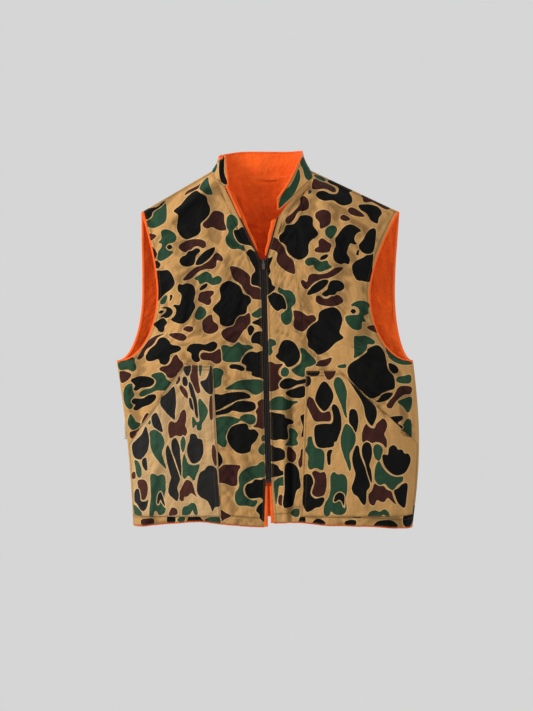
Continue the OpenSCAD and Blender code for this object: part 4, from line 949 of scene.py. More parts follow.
class Piece:
    """Vertices, faces and point fields of one piece, gathered from several closed parts."""

    def __init__(self):
        self.points = []
        self.faces = []
        self.fields = {}
        self.count = 0

    def add(self, points, faces, cloth_place=None, fields=None):
        points = np.array(points, float).reshape(-1, 3)
        place = np.zeros((len(points), 3)) if cloth_place is None else cloth_place
        given = {"cloth_place": place, **(fields or {})}
        for name in set(given) | set(self.fields):
            if name not in self.fields:
                self.fields[name] = [np.full(self.count, FAR_OUTSIDE)] if self.count else []
            self.fields[name].append(given.get(name, np.full(len(points), FAR_OUTSIDE)))
        self.points.append(points)
        self.faces += [tuple(i + self.count for i in face) for face in faces]
        self.count += len(points)

    def add_slab(self, front, back, fields=None):
        """Closed sheet between two grids of points."""
        rows, cols = front.shape[:2]
        n = rows * cols
        index = np.arange(n).reshape(rows, cols)
        quads = np.stack([index[:-1, :-1], index[:-1, 1:], index[1:, 1:], index[1:, :-1]], 2).reshape(-1, 4)
        faces = quads.tolist() + (quads[:, ::-1] + n).tolist()
        rim = np.concatenate([index[0], index[1:, -1], index[-1, -2::-1], index[-2:0:-1, 0]])
        for a, b in zip(rim, np.roll(rim, -1)):
            faces.append((b, a, a + n, b + n))
        down, _ = line_distances(front)
        across, _ = line_distances(front.transpose(1, 0, 2))
        place = np.stack([across.T, down, np.zeros((rows, cols))], 2).reshape(-1, 3) / 1000
        edge = np.minimum.reduce(edge_distances(front)).ravel()
        twice = {name: np.tile(values, 2) for name, values in (fields or {}).items()}
        twice["edge_distance"] = np.tile(edge, 2)
        points = np.concatenate([front.reshape(-1, 3), back.reshape(-1, 3)])
        self.add(points, faces, np.tile(place, (2, 1)), twice)

    def add_roll(self, path, thick, wide, normal=(0, 1, 0), sides=8):
        """Rounded band along a path: thick and wide are its half sizes along the normal and across."""
        path = np.array(path, float)
        along = np.gradient(path, axis=0)
        along /= np.linalg.norm(along, axis=1)[:, None]
        across = np.cross(along, np.array(normal, float))
        across /= np.linalg.norm(across, axis=1)[:, None]
        up = np.cross(across, along)
        wide = np.broadcast_to(wide, len(path))
        angles = np.arange(sides) * 2 * math.pi / sides
        ring = (np.cos(angles)[None, :, None] * across[:, None] * wide[:, None, None]
                + np.sin(angles)[None, :, None] * up[:, None] * thick)
        points = path[:, None] + ring
        index = np.arange(len(path) * sides).reshape(len(path), sides)
        after = np.roll(index, -1, 1)
        faces = np.stack([index[:-1], index[1:], after[1:], after[:-1]], 2).reshape(-1, 4).tolist()
        faces += [tuple(index[0]), tuple(index[-1][::-1])]
        length = np.concatenate([[0], np.cumsum(np.linalg.norm(np.diff(path, axis=0), axis=1))])
        place = np.zeros((len(path), sides, 3))
        place[..., 1] = length[:, None] / 1000
        place[..., 0] = angles / math.pi * wide[:, None] / 1000
        fields = {"edge_distance": np.full(len(path) * sides, 2.0)}
        self.add(points.reshape(-1, 3), faces, place.reshape(-1, 3), fields)

    def add_stitches(self, path, towards, pitch=3.2, length=2.5, half=0.33):
        """Row of short threads that lie on the cloth along a path."""
        total = np.linalg.norm(np.diff(path, axis=0), axis=1).sum()
        count = int(total / pitch)
        if count < 2:
            return
        ends = even_points(path, 2 * count)
        shape = [(0, 1, 4), (1, 2, 4), (2, 3, 4), (3, 0, 4), (1, 0, 5), (2, 1, 5), (3, 2, 5), (0, 3, 5)]
        towards = np.array(towards, float)
        for i in range(count):
            middle = (ends[2 * i] + ends[2 * i + 1]) / 2
            run = ends[2 * i + 1] - ends[2 * i]
            run = run / max(np.linalg.norm(run), 1e-6)
            across = np.cross(run, towards)
            across /= max(np.linalg.norm(across), 1e-6)
            middle = middle + towards * 0.12
            corners = [
                middle + run * length / 2,
                middle + across * half,
                middle - run * length / 2,
                middle - across * half,
                middle + towards * half,
                middle - towards * half,
            ]
            place = np.tile([[i * 0.0032, total / 1000, 0]], (6, 1))
            self.add(corners, shape, place)

    def made(self, name, material):
        """The finished object, in metres."""
        mesh = bpy.data.meshes.new(name)
        mesh.from_pydata((np.concatenate(self.points) / 1000).tolist(), [], self.faces)
        work = bmesh.new()
        work.from_mesh(mesh)
        bmesh.ops.recalc_face_normals(work, faces=work.faces)
        work.to_mesh(mesh)
        work.free()
        for field, values in self.fields.items():
            kind = "FLOAT_VECTOR" if field == "cloth_place" else "FLOAT"
            layer = mesh.attributes.new(field, kind, "POINT")
            joined_values = np.concatenate(values).astype(np.float32).ravel()
            layer.data.foreach_set("vector" if kind == "FLOAT_VECTOR" else "value", joined_values)
        mesh.shade_smooth()
        mesh.materials.append(material)
        thing = bpy.data.objects.new(name, mesh)
        bpy.context.scene.collection.objects.link(thing)
        return thing


def near_lines(*distances):
    """1 on a line of stitching, falling to 0 beside it: the mask of the painted shade along the stitching.
    """
    return np.clip(1 - np.minimum.reduce(distances) / 2.4, 0, 1).ravel()


def fold_shade_mask(height):
    """Mask of the painted shade in folds: 1 in the bottoms of the cloth's folds and 0 on its flat parts and
    ridges.
    """
    kernel = np.ones(13) / 13
    smooth = np.pad(height, 12, mode="edge")
    for _ in range(2):
        smooth = np.apply_along_axis(np.convolve, 0, smooth, kernel, "same")
        smooth = np.apply_along_axis(np.convolve, 1, smooth, kernel, "same")
    return np.clip((smooth[12:-12, 12:-12] - height) / 1.2, 0, 1).ravel()


def pushed(grid, y):
    """Copy of a grid with another Y."""
    out = grid.copy()
    out[..., 1] = y
    return out


def cut_size(grid):
    """Width, length and area of a sheet before it was hung, in metres and square metres."""
    top, _ = line_distances(grid)
    across, _ = line_distances(grid.transpose(1, 0, 2))
    a = grid[1:, 1:] - grid[:-1, :-1]
    b = grid[1:, :-1] - grid[:-1, 1:]
    area = np.linalg.norm(np.cross(a, b), axis=2).sum() / 2 / 1e6
    return (round(across.max() / 1000, 3), round(top.max() / 1000, 3)), round(float(area), 4)


def roll_cloth(path, thick, wide):
    """Area in square metres of the cloth that goes once round a rolled edge of these half sizes."""
    path = np.array(path, float)
    girth = math.pi * np.sqrt(2 * (thick ** 2 + np.broadcast_to(wide, len(path)) ** 2))
    steps = np.linalg.norm(np.diff(path, axis=0), axis=1)
    return float(((girth[1:] + girth[:-1]) / 2 * steps).sum()) / 1e6


def declare_cloth(grid, rolled=0.0):
    """Works out a piece's sheet size from its grid, widened by the area of cloth in its rolled edges; the
    result is not kept.
    """
    (width, length), area = cut_size(grid)
    width = round(width + rolled / length, 3)


# ---- baking the placement of pieces --------------------------------------------------------------

FOLD_BEND = 20           # half width of the cloth across a fold line, for an inward step that is not used


def bend_front(thing, k):
    """Bakes a piece's placement into its mesh; the step inward across the fold line is worked out but not
    used.
    """
    s = SIGN[k]
    inward = np.array([-s * (FRONT_DROP - FOLD_TOP_DROP), 0, FOLD_TOP_HALF[k] - FOLD_HEM_HALF], float)
    inward *= FOLD_BEND / np.linalg.norm(inward)
    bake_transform(thing)


def bend_collar(thing):
    """Bakes the placement of an end part of the collar into its mesh."""
    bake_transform(thing)


# ---- materials -----------------------------------------------------------------------------------

def colour(red, green, blue):
    """Screen colour, 0 to 255, as the linear colour that a shader takes."""
    linear = [v / 12.92 if v <= 0.04045 else ((v + 0.055) / 1.055) ** 2.4 for v in
              (red / 255, green / 255, blue / 255)]
    return (*linear, 1.0)


def add_node(tree, kind, inputs=None, **settings):
    made = tree.nodes.new(kind)
    for name, value in settings.items():
        setattr(made, name, value)
    for name, value in (inputs or {}).items():
        if isinstance(value, bpy.types.NodeSocket):
            tree.links.new(value, made.inputs[name])
        else:
            made.inputs[name].default_value = value
    return made


def field_of(tree, name):
    return add_node(tree, "ShaderNodeAttribute", attribute_name=name).outputs["Fac"]


def noise_of(tree, place, scale, detail=3.0):
    inputs = {"Vector": place, "Scale": scale, "Detail": detail, "Roughness": 0.55}
    return add_node(tree, "ShaderNodeTexNoise", inputs).outputs["Fac"]


def ramp_of(tree, value, low, high, out_low=0.0, out_high=1.0):
    inputs = {0: value, 1: low, 2: high, 3: out_low, 4: out_high}
    return add_node(tree, "ShaderNodeMapRange", inputs).outputs[0]


def sum_of(tree, a, b, operation="ADD"):
    return add_node(tree, "ShaderNodeMath", {0: a, 1: b}, operation=operation).outputs[0]


def blend_of(tree, share, a, b, mode="MIX"):
    inputs = {0: share, 6: a, 7: b}
    return add_node(tree, "ShaderNodeMix", inputs, data_type="RGBA", blend_type=mode).outputs[2]


def bump_of(tree, height, distance, strength, under=None):
    inputs = {"Height": height, "Distance": distance, "Strength": strength}
    if under is not None:
        inputs["Normal"] = under
    return add_node(tree, "ShaderNodeBump", inputs).outputs["Normal"]


def finish_material(material, base, roughness, normal, sheen=0.0, metallic=0.0, specular=0.3):
    tree = material.node_tree
    inputs = {
        "Base Color": base,
        "Roughness": roughness,
        "Normal": normal,
        "Metallic": metallic,
        "Specular IOR Level": specular,
        "Sheen Weight": sheen,
    }
    shader = add_node(tree, "ShaderNodeBsdfPrincipled", inputs)
    add_node(tree, "ShaderNodeOutputMaterial", {"Surface": shader.outputs[0]})
    return material


def new_material(name):
    material = bpy.data.materials.new(name)
    material.use_nodes = True
    material.node_tree.nodes.clear()
    return material


def cloth_surface(tree, place):
    """Bumps of a woven cloth: slow crumples under a fine diagonal twill."""
    crumple = bump_of(tree, noise_of(tree, place, 30.0, 4.0), 0.009, 0.9)
    fine = bump_of(tree, noise_of(tree, place, 220.0, 3.0), 0.0014, 0.5, crumple)
    slant = add_node(tree, "ShaderNodeMapping", {"Vector": place, "Rotation": (0, 0, 1.1)}).outputs[0]
    twill = add_node(tree, "ShaderNodeTexWave", {"Vector": slant, "Scale": 240.0, "Distortion": 0.6})
    return bump_of(tree, twill.outputs["Fac"], 0.0003, 0.25, fine)


def grey_of(tree, value):
    inputs = {"Red": value, "Green": value, "Blue": value}
    return add_node(tree, "ShaderNodeCombineColor", inputs).outputs[0]


def wear_and_painted_shade(tree, place, base, pale, unevenness):
    """Uneven fading, painted shade in the bottoms of folds and along the stitching, thread speckle and
    rubbed edges.
    """
    blotches = ramp_of(tree, noise_of(tree, place, 17.0, 5.0), 0.25, 0.75, 1 - unevenness, 1 + unevenness)
    streaks = add_node(tree, "ShaderNodeMapping", {"Vector": place, "Scale": (60.0, 5.0, 1.0)}).outputs[0]
    streaky = ramp_of(tree, noise_of(tree, streaks, 1.0, 4.0), 0.35, 0.65, 0.88, 1.06)
    speckle = ramp_of(tree, noise_of(tree, place, 900.0, 2.0), 0.3, 0.7, 0.9, 1.1)
    # painted shade: the cloth is darkened to 0.6 in the bottoms of the folds
    hollow = ramp_of(tree, field_of(tree, "hollow"), 0.0, 1.0, 1.0, 0.6)
    # painted shade: the cloth is darkened to half on the lines of stitching, where the seams crease
    stitch_crease_shade = ramp_of(tree, field_of(tree, "stitch_near"), 0.0, 1.0, 1.0, 0.5)
    shade = sum_of(tree, blotches, streaky, "MULTIPLY")
    for factor in (speckle, hollow, stitch_crease_shade):
        shade = sum_of(tree, shade, factor, "MULTIPLY")
    shaded = blend_of(tree, 1.0, base, grey_of(tree, shade), "MULTIPLY")
    rubbed = sum_of(tree, ramp_of(tree, field_of(tree, "edge_distance"), 0.5, 3.0, 0.25, 0.0),
                    noise_of(tree, place, 160.0), "MULTIPLY")
    return blend_of(tree, rubbed, shaded, pale)


def printed_cloth(name, tan, outline, tones, unevenness):
    """Printed cotton: patches with a pale outline, from the print fields."""
    material = new_material(name)
    tree = material.node_tree
    place = add_node(tree, "ShaderNodeAttribute", attribute_name="cloth_place").outputs["Vector"]
    wobble = ramp_of(tree, noise_of(tree, place, 420.0, 2.0), 0.2, 0.8, -0.35, 0.35)
    base = tan
    for layer in PRINT_LAYERS:
        depth = sum_of(tree, field_of(tree, "print_" + layer), wobble)
        base = blend_of(tree, ramp_of(tree, depth, -1.9, -1.2), base, outline)
        base = blend_of(tree, ramp_of(tree, depth, -0.3, 0.3), base, tones[layer.split("_")[0]])
    base = wear_and_painted_shade(tree, place, base, outline, unevenness)
    return finish_material(material, base, 0.9, cloth_surface(tree, place), sheen=0.0, specular=0.12)


def plain_cloth(name, base, pale, unevenness, sheen=0.1):
    material = new_material(name)
    tree = material.node_tree
    place = add_node(tree, "ShaderNodeAttribute", attribute_name="cloth_place").outputs["Vector"]
    base = wear_and_painted_shade(tree, place, base, pale, unevenness)
    return finish_material(material, base, 0.85, cloth_surface(tree, place), sheen=sheen, specular=0.2)


def hard_material(name, base, worn_base, roughness, metallic=0.0):
    """Moulded or cast part: uneven gloss and scuffs."""
    material = new_material(name)
    tree = material.node_tree
    place = add_node(tree, "ShaderNodeTexCoord").outputs["Object"]
    scuffs = ramp_of(tree, noise_of(tree, place, 700.0, 5.0), 0.45, 0.75, 0.0, 0.6)
    shade = blend_of(tree, scuffs, base, worn_base)
    gloss = ramp_of(tree, noise_of(tree, place, 260.0, 3.0), 0.3, 0.7, roughness - 0.1, roughness + 0.15)
    bump = bump_of(tree, noise_of(tree, place, 1500.0, 2.0), 0.0001, 0.4)
    return finish_material(material, shade, gloss, bump, metallic=metallic)


PRINT_TONES = {
    "brown": colour(62, 32, 27),
    "green": colour(42, 70, 50),
    "black": colour(15, 15, 14),
}
FADED_TONES = {
    "brown": colour(78, 44, 36),
    "green": colour(52, 80, 60),
    "black": colour(40, 39, 38),
}
PRINTED = printed_cloth("printed_cotton", colour(196, 148, 90), colour(212, 168, 112), PRINT_TONES, 0.12)
FADED = printed_cloth(
    "faded_printed_cotton", colour(202, 162, 112), colour(216, 178, 130), FADED_TONES, 0.12)
POCKET_CLOTH = [FADED, PRINTED]
ORANGE = plain_cloth("blaze_orange_cotton", colour(254, 100, 24), colour(255, 128, 56), 0.12)
TAPE = plain_cloth("black_zipper_tape", colour(24, 23, 24), colour(60, 56, 54), 0.15, sheen=0.0)
THREAD = plain_cloth("tan_thread", colour(120, 84, 48), colour(176, 136, 88), 0.3, sheen=0.0)
WHITE_TAB = plain_cloth("white_tab", colour(226, 222, 212), colour(240, 238, 232), 0.2)
BLACK_PLASTIC = hard_material("black_plastic", colour(20, 20, 22), colour(58, 56, 55), 0.42)
BLACK_METAL = hard_material("black_lacquered_metal", colour(26, 25, 25), colour(110, 104, 96), 0.38, 0.7)
GREY_METAL = hard_material("aged_grey_metal", colour(96, 94, 90), colour(62, 58, 54), 0.38, 1.0)


# ---- cloth panels --------------------------------------------------------------------------------

fronts = {}              # faces of the finished fronts, which the pockets lie on


def seam_share(grid, neck_cols):
    """1 on the shoulder and side seams, falling to 0 where the plies are apart."""
    top, _, _, outer = edge_distances(grid)
    rows, cols = grid.shape[:2]
    beside = ease((np.arange(rows)[:, None] - ROWS_ARM + 8) / 8)
    under = ease((np.arange(cols)[None, :] - neck_cols + 4) / 4)
    return np.maximum(beside * (1 - ease(outer / SEAM_REACH)), under * (1 - ease(top / SEAM_REACH)))


def ply(grid, base_y, out, seam_out, share):
    """Grid of one face of a ply, out from the base depth and nearer to the seam plane at a seam."""
    return pushed(grid, mix(base_y + out, seam_out, share))


def lower_hem(grid, peek):
    """Copy of a grid whose last rows reach a little lower."""
    out = grid.copy()
    rows = len(grid)
    out[..., 2] -= peek * ease((np.arange(rows)[:, None] - rows + 9) / 8)
    return out


def rolled_armhole(piece, edge, y, facing):
    """Orange lining rolled out round an armhole."""
    path = edge.copy()
    path[:, 1] += y
    path[:, 0] -= np.sign(path[:, 0]) * 1.2
    piece.add_roll(path[::2], 1.9, 3.0, normal=(0, facing, 0))


def build_front(k):
    """Shell, lining and thread of one front."""
    grid = front_grid(k)
    x, z = grid[..., 0], grid[..., 2]
    share = seam_share(grid, NECK_COLS[k])
    sewn = ("top", "inner", "outer")
    sway = drape_of(grid, sewn, most=6.0)
    top, bottom, inner, outer = edge_distances(grid)
    free = ease(np.minimum(inner - 13, np.minimum(outer, top) / 1.5) / 16)
    base = grid[..., 1] + (sway - hanging_folds(k, x, z)) * free
    face = ply(grid, base, -SHELL_OUT, -1.4, share)
    fronts[k] = face
    shell = Piece()
    fields = print_fields(np.stack([x, z], 2).reshape(-1, 2), FRONT_PRINT[k])
    rows, cols = np.indices(x.shape)
    on_shoulder = np.where(cols >= NECK_COLS[k], np.abs(top - EDGE_STITCH), 99)
    on_armhole = np.where(rows <= ROWS_ARM, np.abs(outer - ARMHOLE_STITCH), 99)
    on_front_edge = np.abs(inner - EDGE_STITCH)
    on_hem = np.abs(bottom - HEM_STITCH)
    fields["stitch_near"] = near_lines(on_front_edge, on_hem, on_armhole, on_shoulder)
    # painted shade: the bottoms of this front's folds, which the material darkens
    fields["hollow"] = fold_shade_mask(grid[..., 1] - base)
    shell.add_slab(face, ply(grid, base, PLY - SHELL_OUT, -0.5, share), fields)
    shell_cloth = shell.made(SIDE[k] + "_front_shell_cloth", PRINTED)
    stitches = Piece()
    stitches.add_stitches(inset_path(face, "inner", EDGE_STITCH), (0, -1, 0))
    stitches.add_stitches(inset_path(face, "bottom", HEM_STITCH), (0, -1, 0))
    stitches.add_stitches(inset_path(face, "outer", ARMHOLE_STITCH)[:ROWS_ARM], (0, -1, 0))
    stitches.add_stitches(inset_path(face, "top", EDGE_STITCH)[NECK_COLS[k]:], (0, -1, 0))
    thread = stitches.made(SIDE[k] + "_front_stitches", THREAD)
    lining = Piece()
    low = lower_hem(grid, HEM_PEEK)
    outside = ply(low, base, -LINING_OUT, -0.5, share)
    lining.add_slab(outside, ply(low, base, PLY - LINING_OUT, -0.05, share))
    edge = pushed(grid, base)[:ROWS_ARM + 1, -1]
    rolled_armhole(lining, edge, -2.45, -1)
    lining_cloth = lining.made(SIDE[k] + "_front_lining_cloth", ORANGE)
    for thing in (shell_cloth, thread, lining_cloth):
        bend_front(thing, k)
    side = SIDE[k]
    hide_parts(side + "_front_shell", side + "_side_shell")
    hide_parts(side + "_front_lining", side + "_side_lining")
    declare_cloth(grid)
    declare_cloth(low)


def build_back():
    """Shell, lining and thread of the back."""
    grid = back_grid()
    x, z = grid[..., 0], grid[..., 2]
    middle = COLS
    sway = drape_of(grid, ("top", "inner", "outer"), most=7.0)
    share = np.concatenate([
        seam_share(grid[:, middle::-1], BACK_NECK_COLS)[:, :0:-1],
        seam_share(grid[:, middle:], BACK_NECK_COLS),
    ], 1)
    base = grid[..., 1] + sway
    face = ply(grid, base, LINING_OUT + 0.3, 1.4, share)
    fields = print_fields(np.stack([x, z], 2).reshape(-1, 2), BACK_PRINT)
    fields["stitch_near"] = near_lines(np.abs(edge_distances(grid)[1] - HEM_STITCH))
    # painted shade: the bottoms of the back's folds, which the material darkens
    fields["hollow"] = fold_shade_mask(base - grid[..., 1])
    shell = Piece()
    shell.add_slab(face, ply(grid, base, LINING_OUT + 0.3 - PLY, 0.5, share), fields)
    shell_cloth = shell.made("back_shell_cloth", PRINTED)
    stitches = Piece()
    stitches.add_stitches(inset_path(face, "bottom", HEM_STITCH), (0, 1, 0))
    stitches.add_stitches(inset_path(face, "inner", ARMHOLE_STITCH)[:ROWS_ARM], (0, 1, 0))
    stitches.add_stitches(inset_path(face, "outer", ARMHOLE_STITCH)[:ROWS_ARM], (0, 1, 0))
    stitches.add_stitches(inset_path(face, "top", EDGE_STITCH), (0, 1, 0))
    thread = stitches.made("back_stitches", THREAD)
    lining = Piece()
    low = lower_hem(grid, HEM_PEEK)
    lining.add_slab(ply(low, base, PLY, 0.5, share), ply(low, base, 0, 0.05, share))
    for column in (0, -1):
        rolled_armhole(lining, pushed(grid, base)[:ROWS_ARM + 1, column], 1.3, 1)
    lining_cloth = lining.made("back_lining_cloth", ORANGE)
    for thing in (shell_cloth, thread, lining_cloth):
        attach(thing, "body")
    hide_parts("back_shell")
    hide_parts("back_lining")
    declare_cloth(grid)
    declare_cloth(low)


# ---- collar --------------------------------------------------------------------------------------

COLLAR_PARTS = {"right": (0, 3), "back": (3, 8), "left": (8, 11)}


def collar_curves(first, last):
    """Seam line, upper edge and outward direction of one part of the collar."""
    per_span = 20
    base = curve_through(COLLAR_BASE, per_span)
    rim = curve_through(COLLAR_RIM, per_span)
    run = np.gradient(base, axis=0)
    out = np.stack([-run[:, 1], run[:, 0], np.zeros(len(run))], 1)
    out /= np.linalg.norm(out, axis=1)[:, None]
    chosen = np.s_[first * per_span:last * per_span + 1]
    length = np.concatenate([[0], np.cumsum(np.linalg.norm(np.diff(base, axis=0), axis=1))])
    return base[chosen], rim[chosen], out[chosen], (length - length[-1] / 2)[chosen]


def build_collar(part):
    """Shell, lining and thread of one part of the collar."""
    base, rim, out, length = collar_curves(*COLLAR_PARTS[part])
    h = np.linspace(1, 0, 22)[:, None, None]
    tuck = 8 if part == "back" else 3
    middle = mix((base - [0, 0, tuck])[None], rim[None], h)
    wave = 0.9 * np.sin(length / 17)[None, :, None] * np.sin(math.pi * h) - 1.6 * np.sin(math.pi * h)
    away = wave + 1.4 * ease(5 * h)
    face = middle + (away + 1.0) * out[None]
    inside = middle + (wave - 0.2) * out[None]
    if part == "back":
        fields = print_fields(np.stack([np.tile(length, 22), face[..., 2].ravel() - 150], 1), BACK_PRINT)
    else:
        shapes = together(COLLAR_PRINT, FRONT_PRINT[SIDE.index(part)])
        fields = print_fields(face[..., [0, 2]].reshape(-1, 2), shapes)
    top, bottom, _, _ = edge_distances(face)
    fields["stitch_near"] = near_lines(np.abs(top - 5), np.abs(bottom - 4))
    shell = Piece()
    shell.add_slab(face, face - PLY * out[None], fields)
    shell_cloth = shell.made(part + "_collar_shell_cloth", PRINTED)
    lining = Piece()
    lining.add_slab(inside + PLY * out[None], inside)
    lining.add_roll(rim + 0.7 * out, 1.9, 2.2, normal=out)
    if part != "back":
        end = 0 if part == "right" else -1
        lining.add_roll((middle + 0.7 * out[None])[::2, end], 1.7, 1.8, normal=(0, 1, 0))
    lining_cloth = lining.made(part + "_collar_lining_cloth", ORANGE)
    stitches = Piece()
    stitches.add_stitches(inset_path(face, "top", 5), out[len(out) // 2])
    stitches.add_stitches(inset_path(face, "bottom", 4), out[len(out) // 2])
    thread = stitches.made(part + "_collar_stitches", THREAD)
    for thing in (shell_cloth, lining_cloth, thread):
        if part == "back":
            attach(thing, "body")
        else:
            bend_collar(thing)
    node = "collar_back" if part == "back" else part + "_collar"
    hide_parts(node + "_shell")
    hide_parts(node + "_lining")
    declare_cloth(face)
    declare_cloth(inside)


# ---- pockets -------------------------------------------------------------------------------------

POCKET_COLS = 66
POCKET_ROWS = 90


def depth_on(face, x, z):
    """Depth of a front's face straight behind points given as X and Z."""
    rows, cols = face.shape[:2]
    quads = [
        (i * cols + j, i * cols + j + 1, (i + 1) * cols + j + 1, (i + 1) * cols + j)
        for i in range(rows - 1) for j in range(cols - 1)
    ]
    tree = BVHTree.FromPolygons(face.reshape(-1, 3).tolist(), quads)
    found = [tree.ray_cast((px, -300, pz), (0, 1, 0))[0] for px, pz in zip(x.ravel(), z.ravel())]
    return np.array([-SHELL_OUT if hit is None else hit[1] for hit in found]).reshape(x.shape)


def build_pocket(k):
    """Patch pocket and its thread: its slanted mouth gapes, its other edges are sewn down."""
    s = SIGN[k]
    foot = -POCKET_FOOT_DROP
    top_inner = (s * POCKET_TOP_HALF[k], -POCKET_DROP[k])
    mouth = (s * MOUTH_HALF[k], -POCKET_DROP[k])
    mouth_end = (s * (min(MOUTH_END_HALF[k], side_half(k, MOUTH_END_DROP)) - 3), -MOUTH_END_DROP)
    sewn_cols = 18
    top_edge = joined(even_points([top_inner, mouth], sewn_cols + 1),
                      even_points([mouth, mouth_end], POCKET_COLS - sewn_cols + 1))
    drops = np.linspace(MOUTH_END_DROP, POCKET_FOOT_DROP, POCKET_ROWS + 1)
    outer_edge = np.stack([s * (side_half(k, drops) - 3), -drops], 1)
    outer_edge[0] = mouth_end
    inner_edge = even_points([top_inner, (s * POCKET_FOOT_HALF[k], foot)], POCKET_ROWS + 1)
    bottom_edge = even_points([inner_edge[-1], outer_edge[-1]], POCKET_COLS + 1)
    flat = filled(top_edge, bottom_edge, inner_edge, outer_edge)
    x, z = flat[..., 0], flat[..., 1]
    u = np.linspace(0, 1, POCKET_COLS + 1)[None, :]
    v = np.linspace(0, 1, POCKET_ROWS + 1)[:, None]
    along_mouth = np.clip((u * POCKET_COLS - sewn_cols) / (POCKET_COLS - sewn_cols), 0, 1)
    gape = 4.2 * np.sin(math.pi * along_mouth) ** 0.8 * (1 - v) ** 3
    slack = 1.6 * np.sin(math.pi * u) * np.sin(math.pi * v) * (1 + 0.5 * np.sin(9 * u + 3 * v))
    y = depth_on(fronts[k], x, z) - 0.25 - gape - slack
    face = np.stack([x, y - PLY, z], 2)
    fields = print_fields(flat.reshape(-1, 2), POCKET_PRINT[k])
    top, bottom, inner, outer = edge_distances(face)
    fields["stitch_near"] = near_lines(np.abs(top - 3), np.abs(top - 9), np.abs(inner - 3), bottom, outer)
    pocket = Piece()
    pocket.add_slab(face, pushed(face, y), fields)
    pocket_cloth = pocket.made(SIDE[k] + "_pocket_cloth", POCKET_CLOTH[k])
    stitches = Piece()
    for edge, insets in (("top", (3, 9)), ("inner", (3, 9)), ("bottom", (3,)), ("outer", (4,))):
        for inset in insets:
            stitches.add_stitches(inset_path(face, edge, inset), (0, -1, 0))
    for row in range(4):
        tack = inset_path(face, "top", 3 + 2 * row)[sewn_cols - 1:sewn_cols + 3]
        stitches.add_stitches(tack, (0, -1, 0), pitch=1.0, length=0.9)
    thread = stitches.made(SIDE[k] + "_pocket_stitches", THREAD)
    bend_front(pocket_cloth, k)
    bend_front(thread, k)
    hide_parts(SIDE[k] + "_pocket", SIDE[k] + "_pocket_side")
    declare_cloth(face)


# ---- edges beside the zipper, and its tapes ------------------------------------------------------

def at_depth(points, y):
    points = np.array(points, float)
    return np.stack([points[:, 0], np.full(len(points), float(y)), points[:, 1]], 1)


def build_edge_band(k):
    """Orange cloth that shows behind the teeth in the neck opening, and turned out along the slit."""
    s = SIGN[k]
    edge = np.array(front_edge(k), float)
    band = Piece()
    slit_top = edge[2] - [0, 4]
    slit = even_points([slit_top - [s * 1.5, 0], edge[3] - [s * 2.6, 1]], 30)
    rolls = [(at_depth(slit, -41.6), 1.3, np.linspace(1.9, 4.2, 30))]
    if k == RIGHT:
        over_teeth = even_points([edge[0] + [8.5, 0], mix(edge[0], edge[1], 0.42) + [6, 0]], 30)
        rolls.append((at_depth(over_teeth, -43.4), 0.9, 2.6 * ease(np.linspace(4, 0.5, 30))))
    for roll in rolls:
        band.add_roll(*roll)
    down = np.linspace(0, 1, 60)[:, None]
    across = np.linspace(0, 1, 8)[None, :]
    start = mix(edge[0], mix(edge[1], edge[0], 0.16), down)
    reach = 8 + 9.5 * (1 - down) * ease(0.45 + 5 * down) + 0.7 * np.sin(17 * down)
    x = start[:, :1] - s * (-2 + (reach + 2) * across)
    z = start[:, 1:] - 5 * across * (1 - down) ** 6 + 0 * x
    y = -39.4 + 0.5 * np.sin(11 * down) * across + 0 * x
    face = np.stack([x, y, z], 2)
    band.add_slab(face, pushed(face, y + PLY))
    made = band.made(SIDE[k] + "_front_edge_band", ORANGE)
    bend_front(made, k)
    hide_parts(SIDE[k] + "_front_facing")
    declare_cloth(face,
                  rolled=sum(roll_cloth(*roll) for roll in rolls))


def build_tape(k):
    """Zipper tape behind a row of teeth, split above the slider."""
    s = SIGN[k]
    top = np.array(NECK_END[k], float) - [s * 9, 3]
    turn = np.array([chain_at(CHAIN_TOP_DROP) + s * 1.1, -CHAIN_TOP_DROP])
    closed = np.array([chain_at(CLOSED_DROP), -CLOSED_DROP])
    foot = np.array([chain_at(BOX_DROP), -BOX_DROP])
    beside_opening = joined(even_points([top, turn], 50), even_points([turn, closed], 6))
    line = joined(beside_opening, even_points([closed, foot], 120))
    gap = np.where(line[:, 1:] > -CLOSED_DROP, 1.2, 0.03)
    offsets = mix(gap, 13, np.linspace(0, 1, 6)[None, :])
    x = line[:, :1] + s * offsets
    z = line[:, 1:] + 0 * offsets
    y = TAPE_Y + 0.1 * np.sin(z / 7)
    face = np.stack([x, y - 0.2, z], 2)
    tape = Piece()
    tape.add_slab(face, pushed(face, y + 0.2))
    made = tape.made(SIDE[k] + "_tape_cloth", TAPE)
    bend_front(made, k)
    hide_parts(SIDE[k] + "_zipper_tape")
    declare_cloth(face)


def build_label():
    """Blank white tab, folded double, in the right side seam."""
    low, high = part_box("side_label")
    z = np.linspace(high.z, low.z, 14)[:, None] * 1000
    angle = np.linspace(-math.pi / 2, math.pi / 2, 9)
    inner_x, outer_x = high.x * 1000, low.x * 1000
    depth = (low.y + high.y) * 500

    def loop(radius):
        x = np.concatenate([[inner_x], outer_x + 1 - radius * np.cos(angle), [inner_x]])
        y = np.concatenate([[-radius], radius * np.sin(angle), [radius]]) + depth
        return np.stack([x[None] + 0 * z, y[None] + 0.3 * np.sin(z / 6), z + 0 * x[None]], 2)

    tab = Piece()
    tab.add_slab(loop(0.85), loop(0.5))
    made = tab.made("side_label_cloth", WHITE_TAB)
    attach(made, "body")
    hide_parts("side_label")
    declare_cloth(loop(0.7))


# ---- the object ----------------------------------------------------------------------------------

for k in (RIGHT, LEFT):
    build_front(k)
build_back()
for part in COLLAR_PARTS:
    build_collar(part)
for k in (RIGHT, LEFT):
    build_pocket(k)
    build_edge_band(k)
    build_tape(k)
build_label()

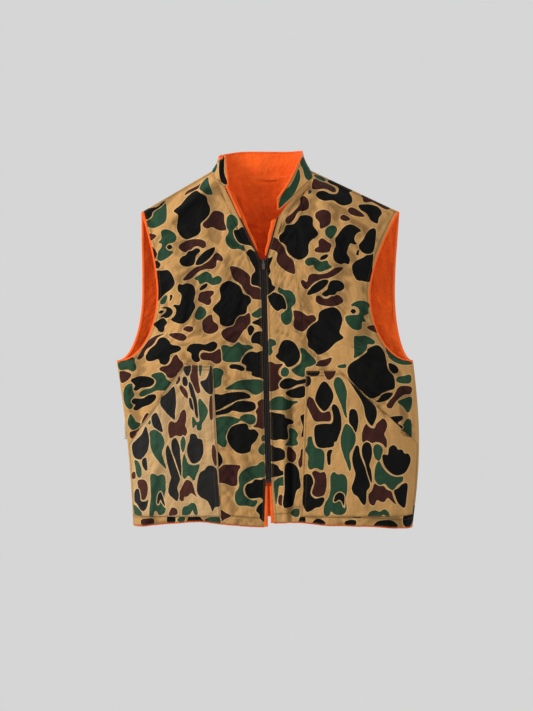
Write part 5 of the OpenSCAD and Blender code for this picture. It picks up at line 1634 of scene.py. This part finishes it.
HARD_PARTS = {
    "right_zipper_teeth": (BLACK_PLASTIC, "zipper_plastic"),
    "left_zipper_teeth": (BLACK_PLASTIC, "zipper_plastic"),
    "right_top_stop": (BLACK_PLASTIC, "zipper_plastic"),
    "left_top_stop": (BLACK_PLASTIC, "zipper_plastic"),
    "retainer_box": (BLACK_PLASTIC, "zipper_plastic"),
    "retainer_pin": (BLACK_PLASTIC, "zipper_plastic"),
    "insertion_pin": (BLACK_PLASTIC, "zipper_plastic"),
    "slider_body": (BLACK_METAL, "slider_metal"),
    "slider_bail": (BLACK_METAL, "slider_metal"),
    "zipper_pull": (GREY_METAL, "pull_metal"),
}
for node, (material, slot_name) in HARD_PARTS.items():
    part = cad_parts[node]
    part.data.materials.clear()
    part.data.materials.append(material)


# ---- room, light and camera ----------------------------------------------------------------------

def pale_floor():
    mesh = bpy.data.meshes.new("floor")
    half, height = 0.8, -1.36
    corners = [(-half, -half, height), (half, -half, height), (half, half, height), (-half, half, height)]
    mesh.from_pydata(corners, [], [(0, 1, 2, 3)])
    floor = bpy.data.objects.new("floor", mesh)
    bpy.context.scene.collection.objects.link(floor)
    material = new_material("pale_floor")
    tree = material.node_tree
    place = add_node(tree, "ShaderNodeTexCoord").outputs["Object"]
    shade = blend_of(tree, noise_of(tree, place, 3.0), colour(204, 205, 204), colour(212, 213, 212))
    finish_material(material, shade, 0.9, bump_of(tree, noise_of(tree, place, 80.0), 0.001, 0.2))
    mesh.materials.append(material)


def soft_light(name, place, size, power):
    light = bpy.data.lights.new(name, "AREA")
    light.shape = "SQUARE"
    light.size = size
    light.energy = power
    lamp = bpy.data.objects.new(name, light)
    lamp.location = place
    target = Vector((0, 0, -0.35))
    lamp.rotation_mode = "QUATERNION"
    lamp.rotation_quaternion = (target - lamp.location).to_track_quat("-Z", "Y")
    bpy.context.scene.collection.objects.link(lamp)


def studio():
    scene = bpy.context.scene
    world = bpy.data.worlds.new("studio")
    world.use_nodes = True
    background = world.node_tree.nodes["Background"]
    background.inputs["Color"].default_value = colour(213, 214, 213)
    background.inputs["Strength"].default_value = 1.0
    scene.world = world
    scene.view_settings.view_transform = "Standard"
    soft_light("window_left", (-2.1, -1.1, 0.8), 0.9, 41)
    soft_light("room_right", (1.6, -1.8, 0.4), 2.0, 4)
    soft_light("behind", (0.6, 2.2, 0.6), 2.0, 20)
    lens = bpy.data.cameras.new("camera")
    lens.lens = 53.3
    camera = bpy.data.objects.new("camera", lens)
    camera.location = (0, -2.04, -0.362)
    camera.rotation_euler = (math.pi / 2, 0, 0)
    scene.collection.objects.link(camera)
    scene.camera = camera


pale_floor()
studio()
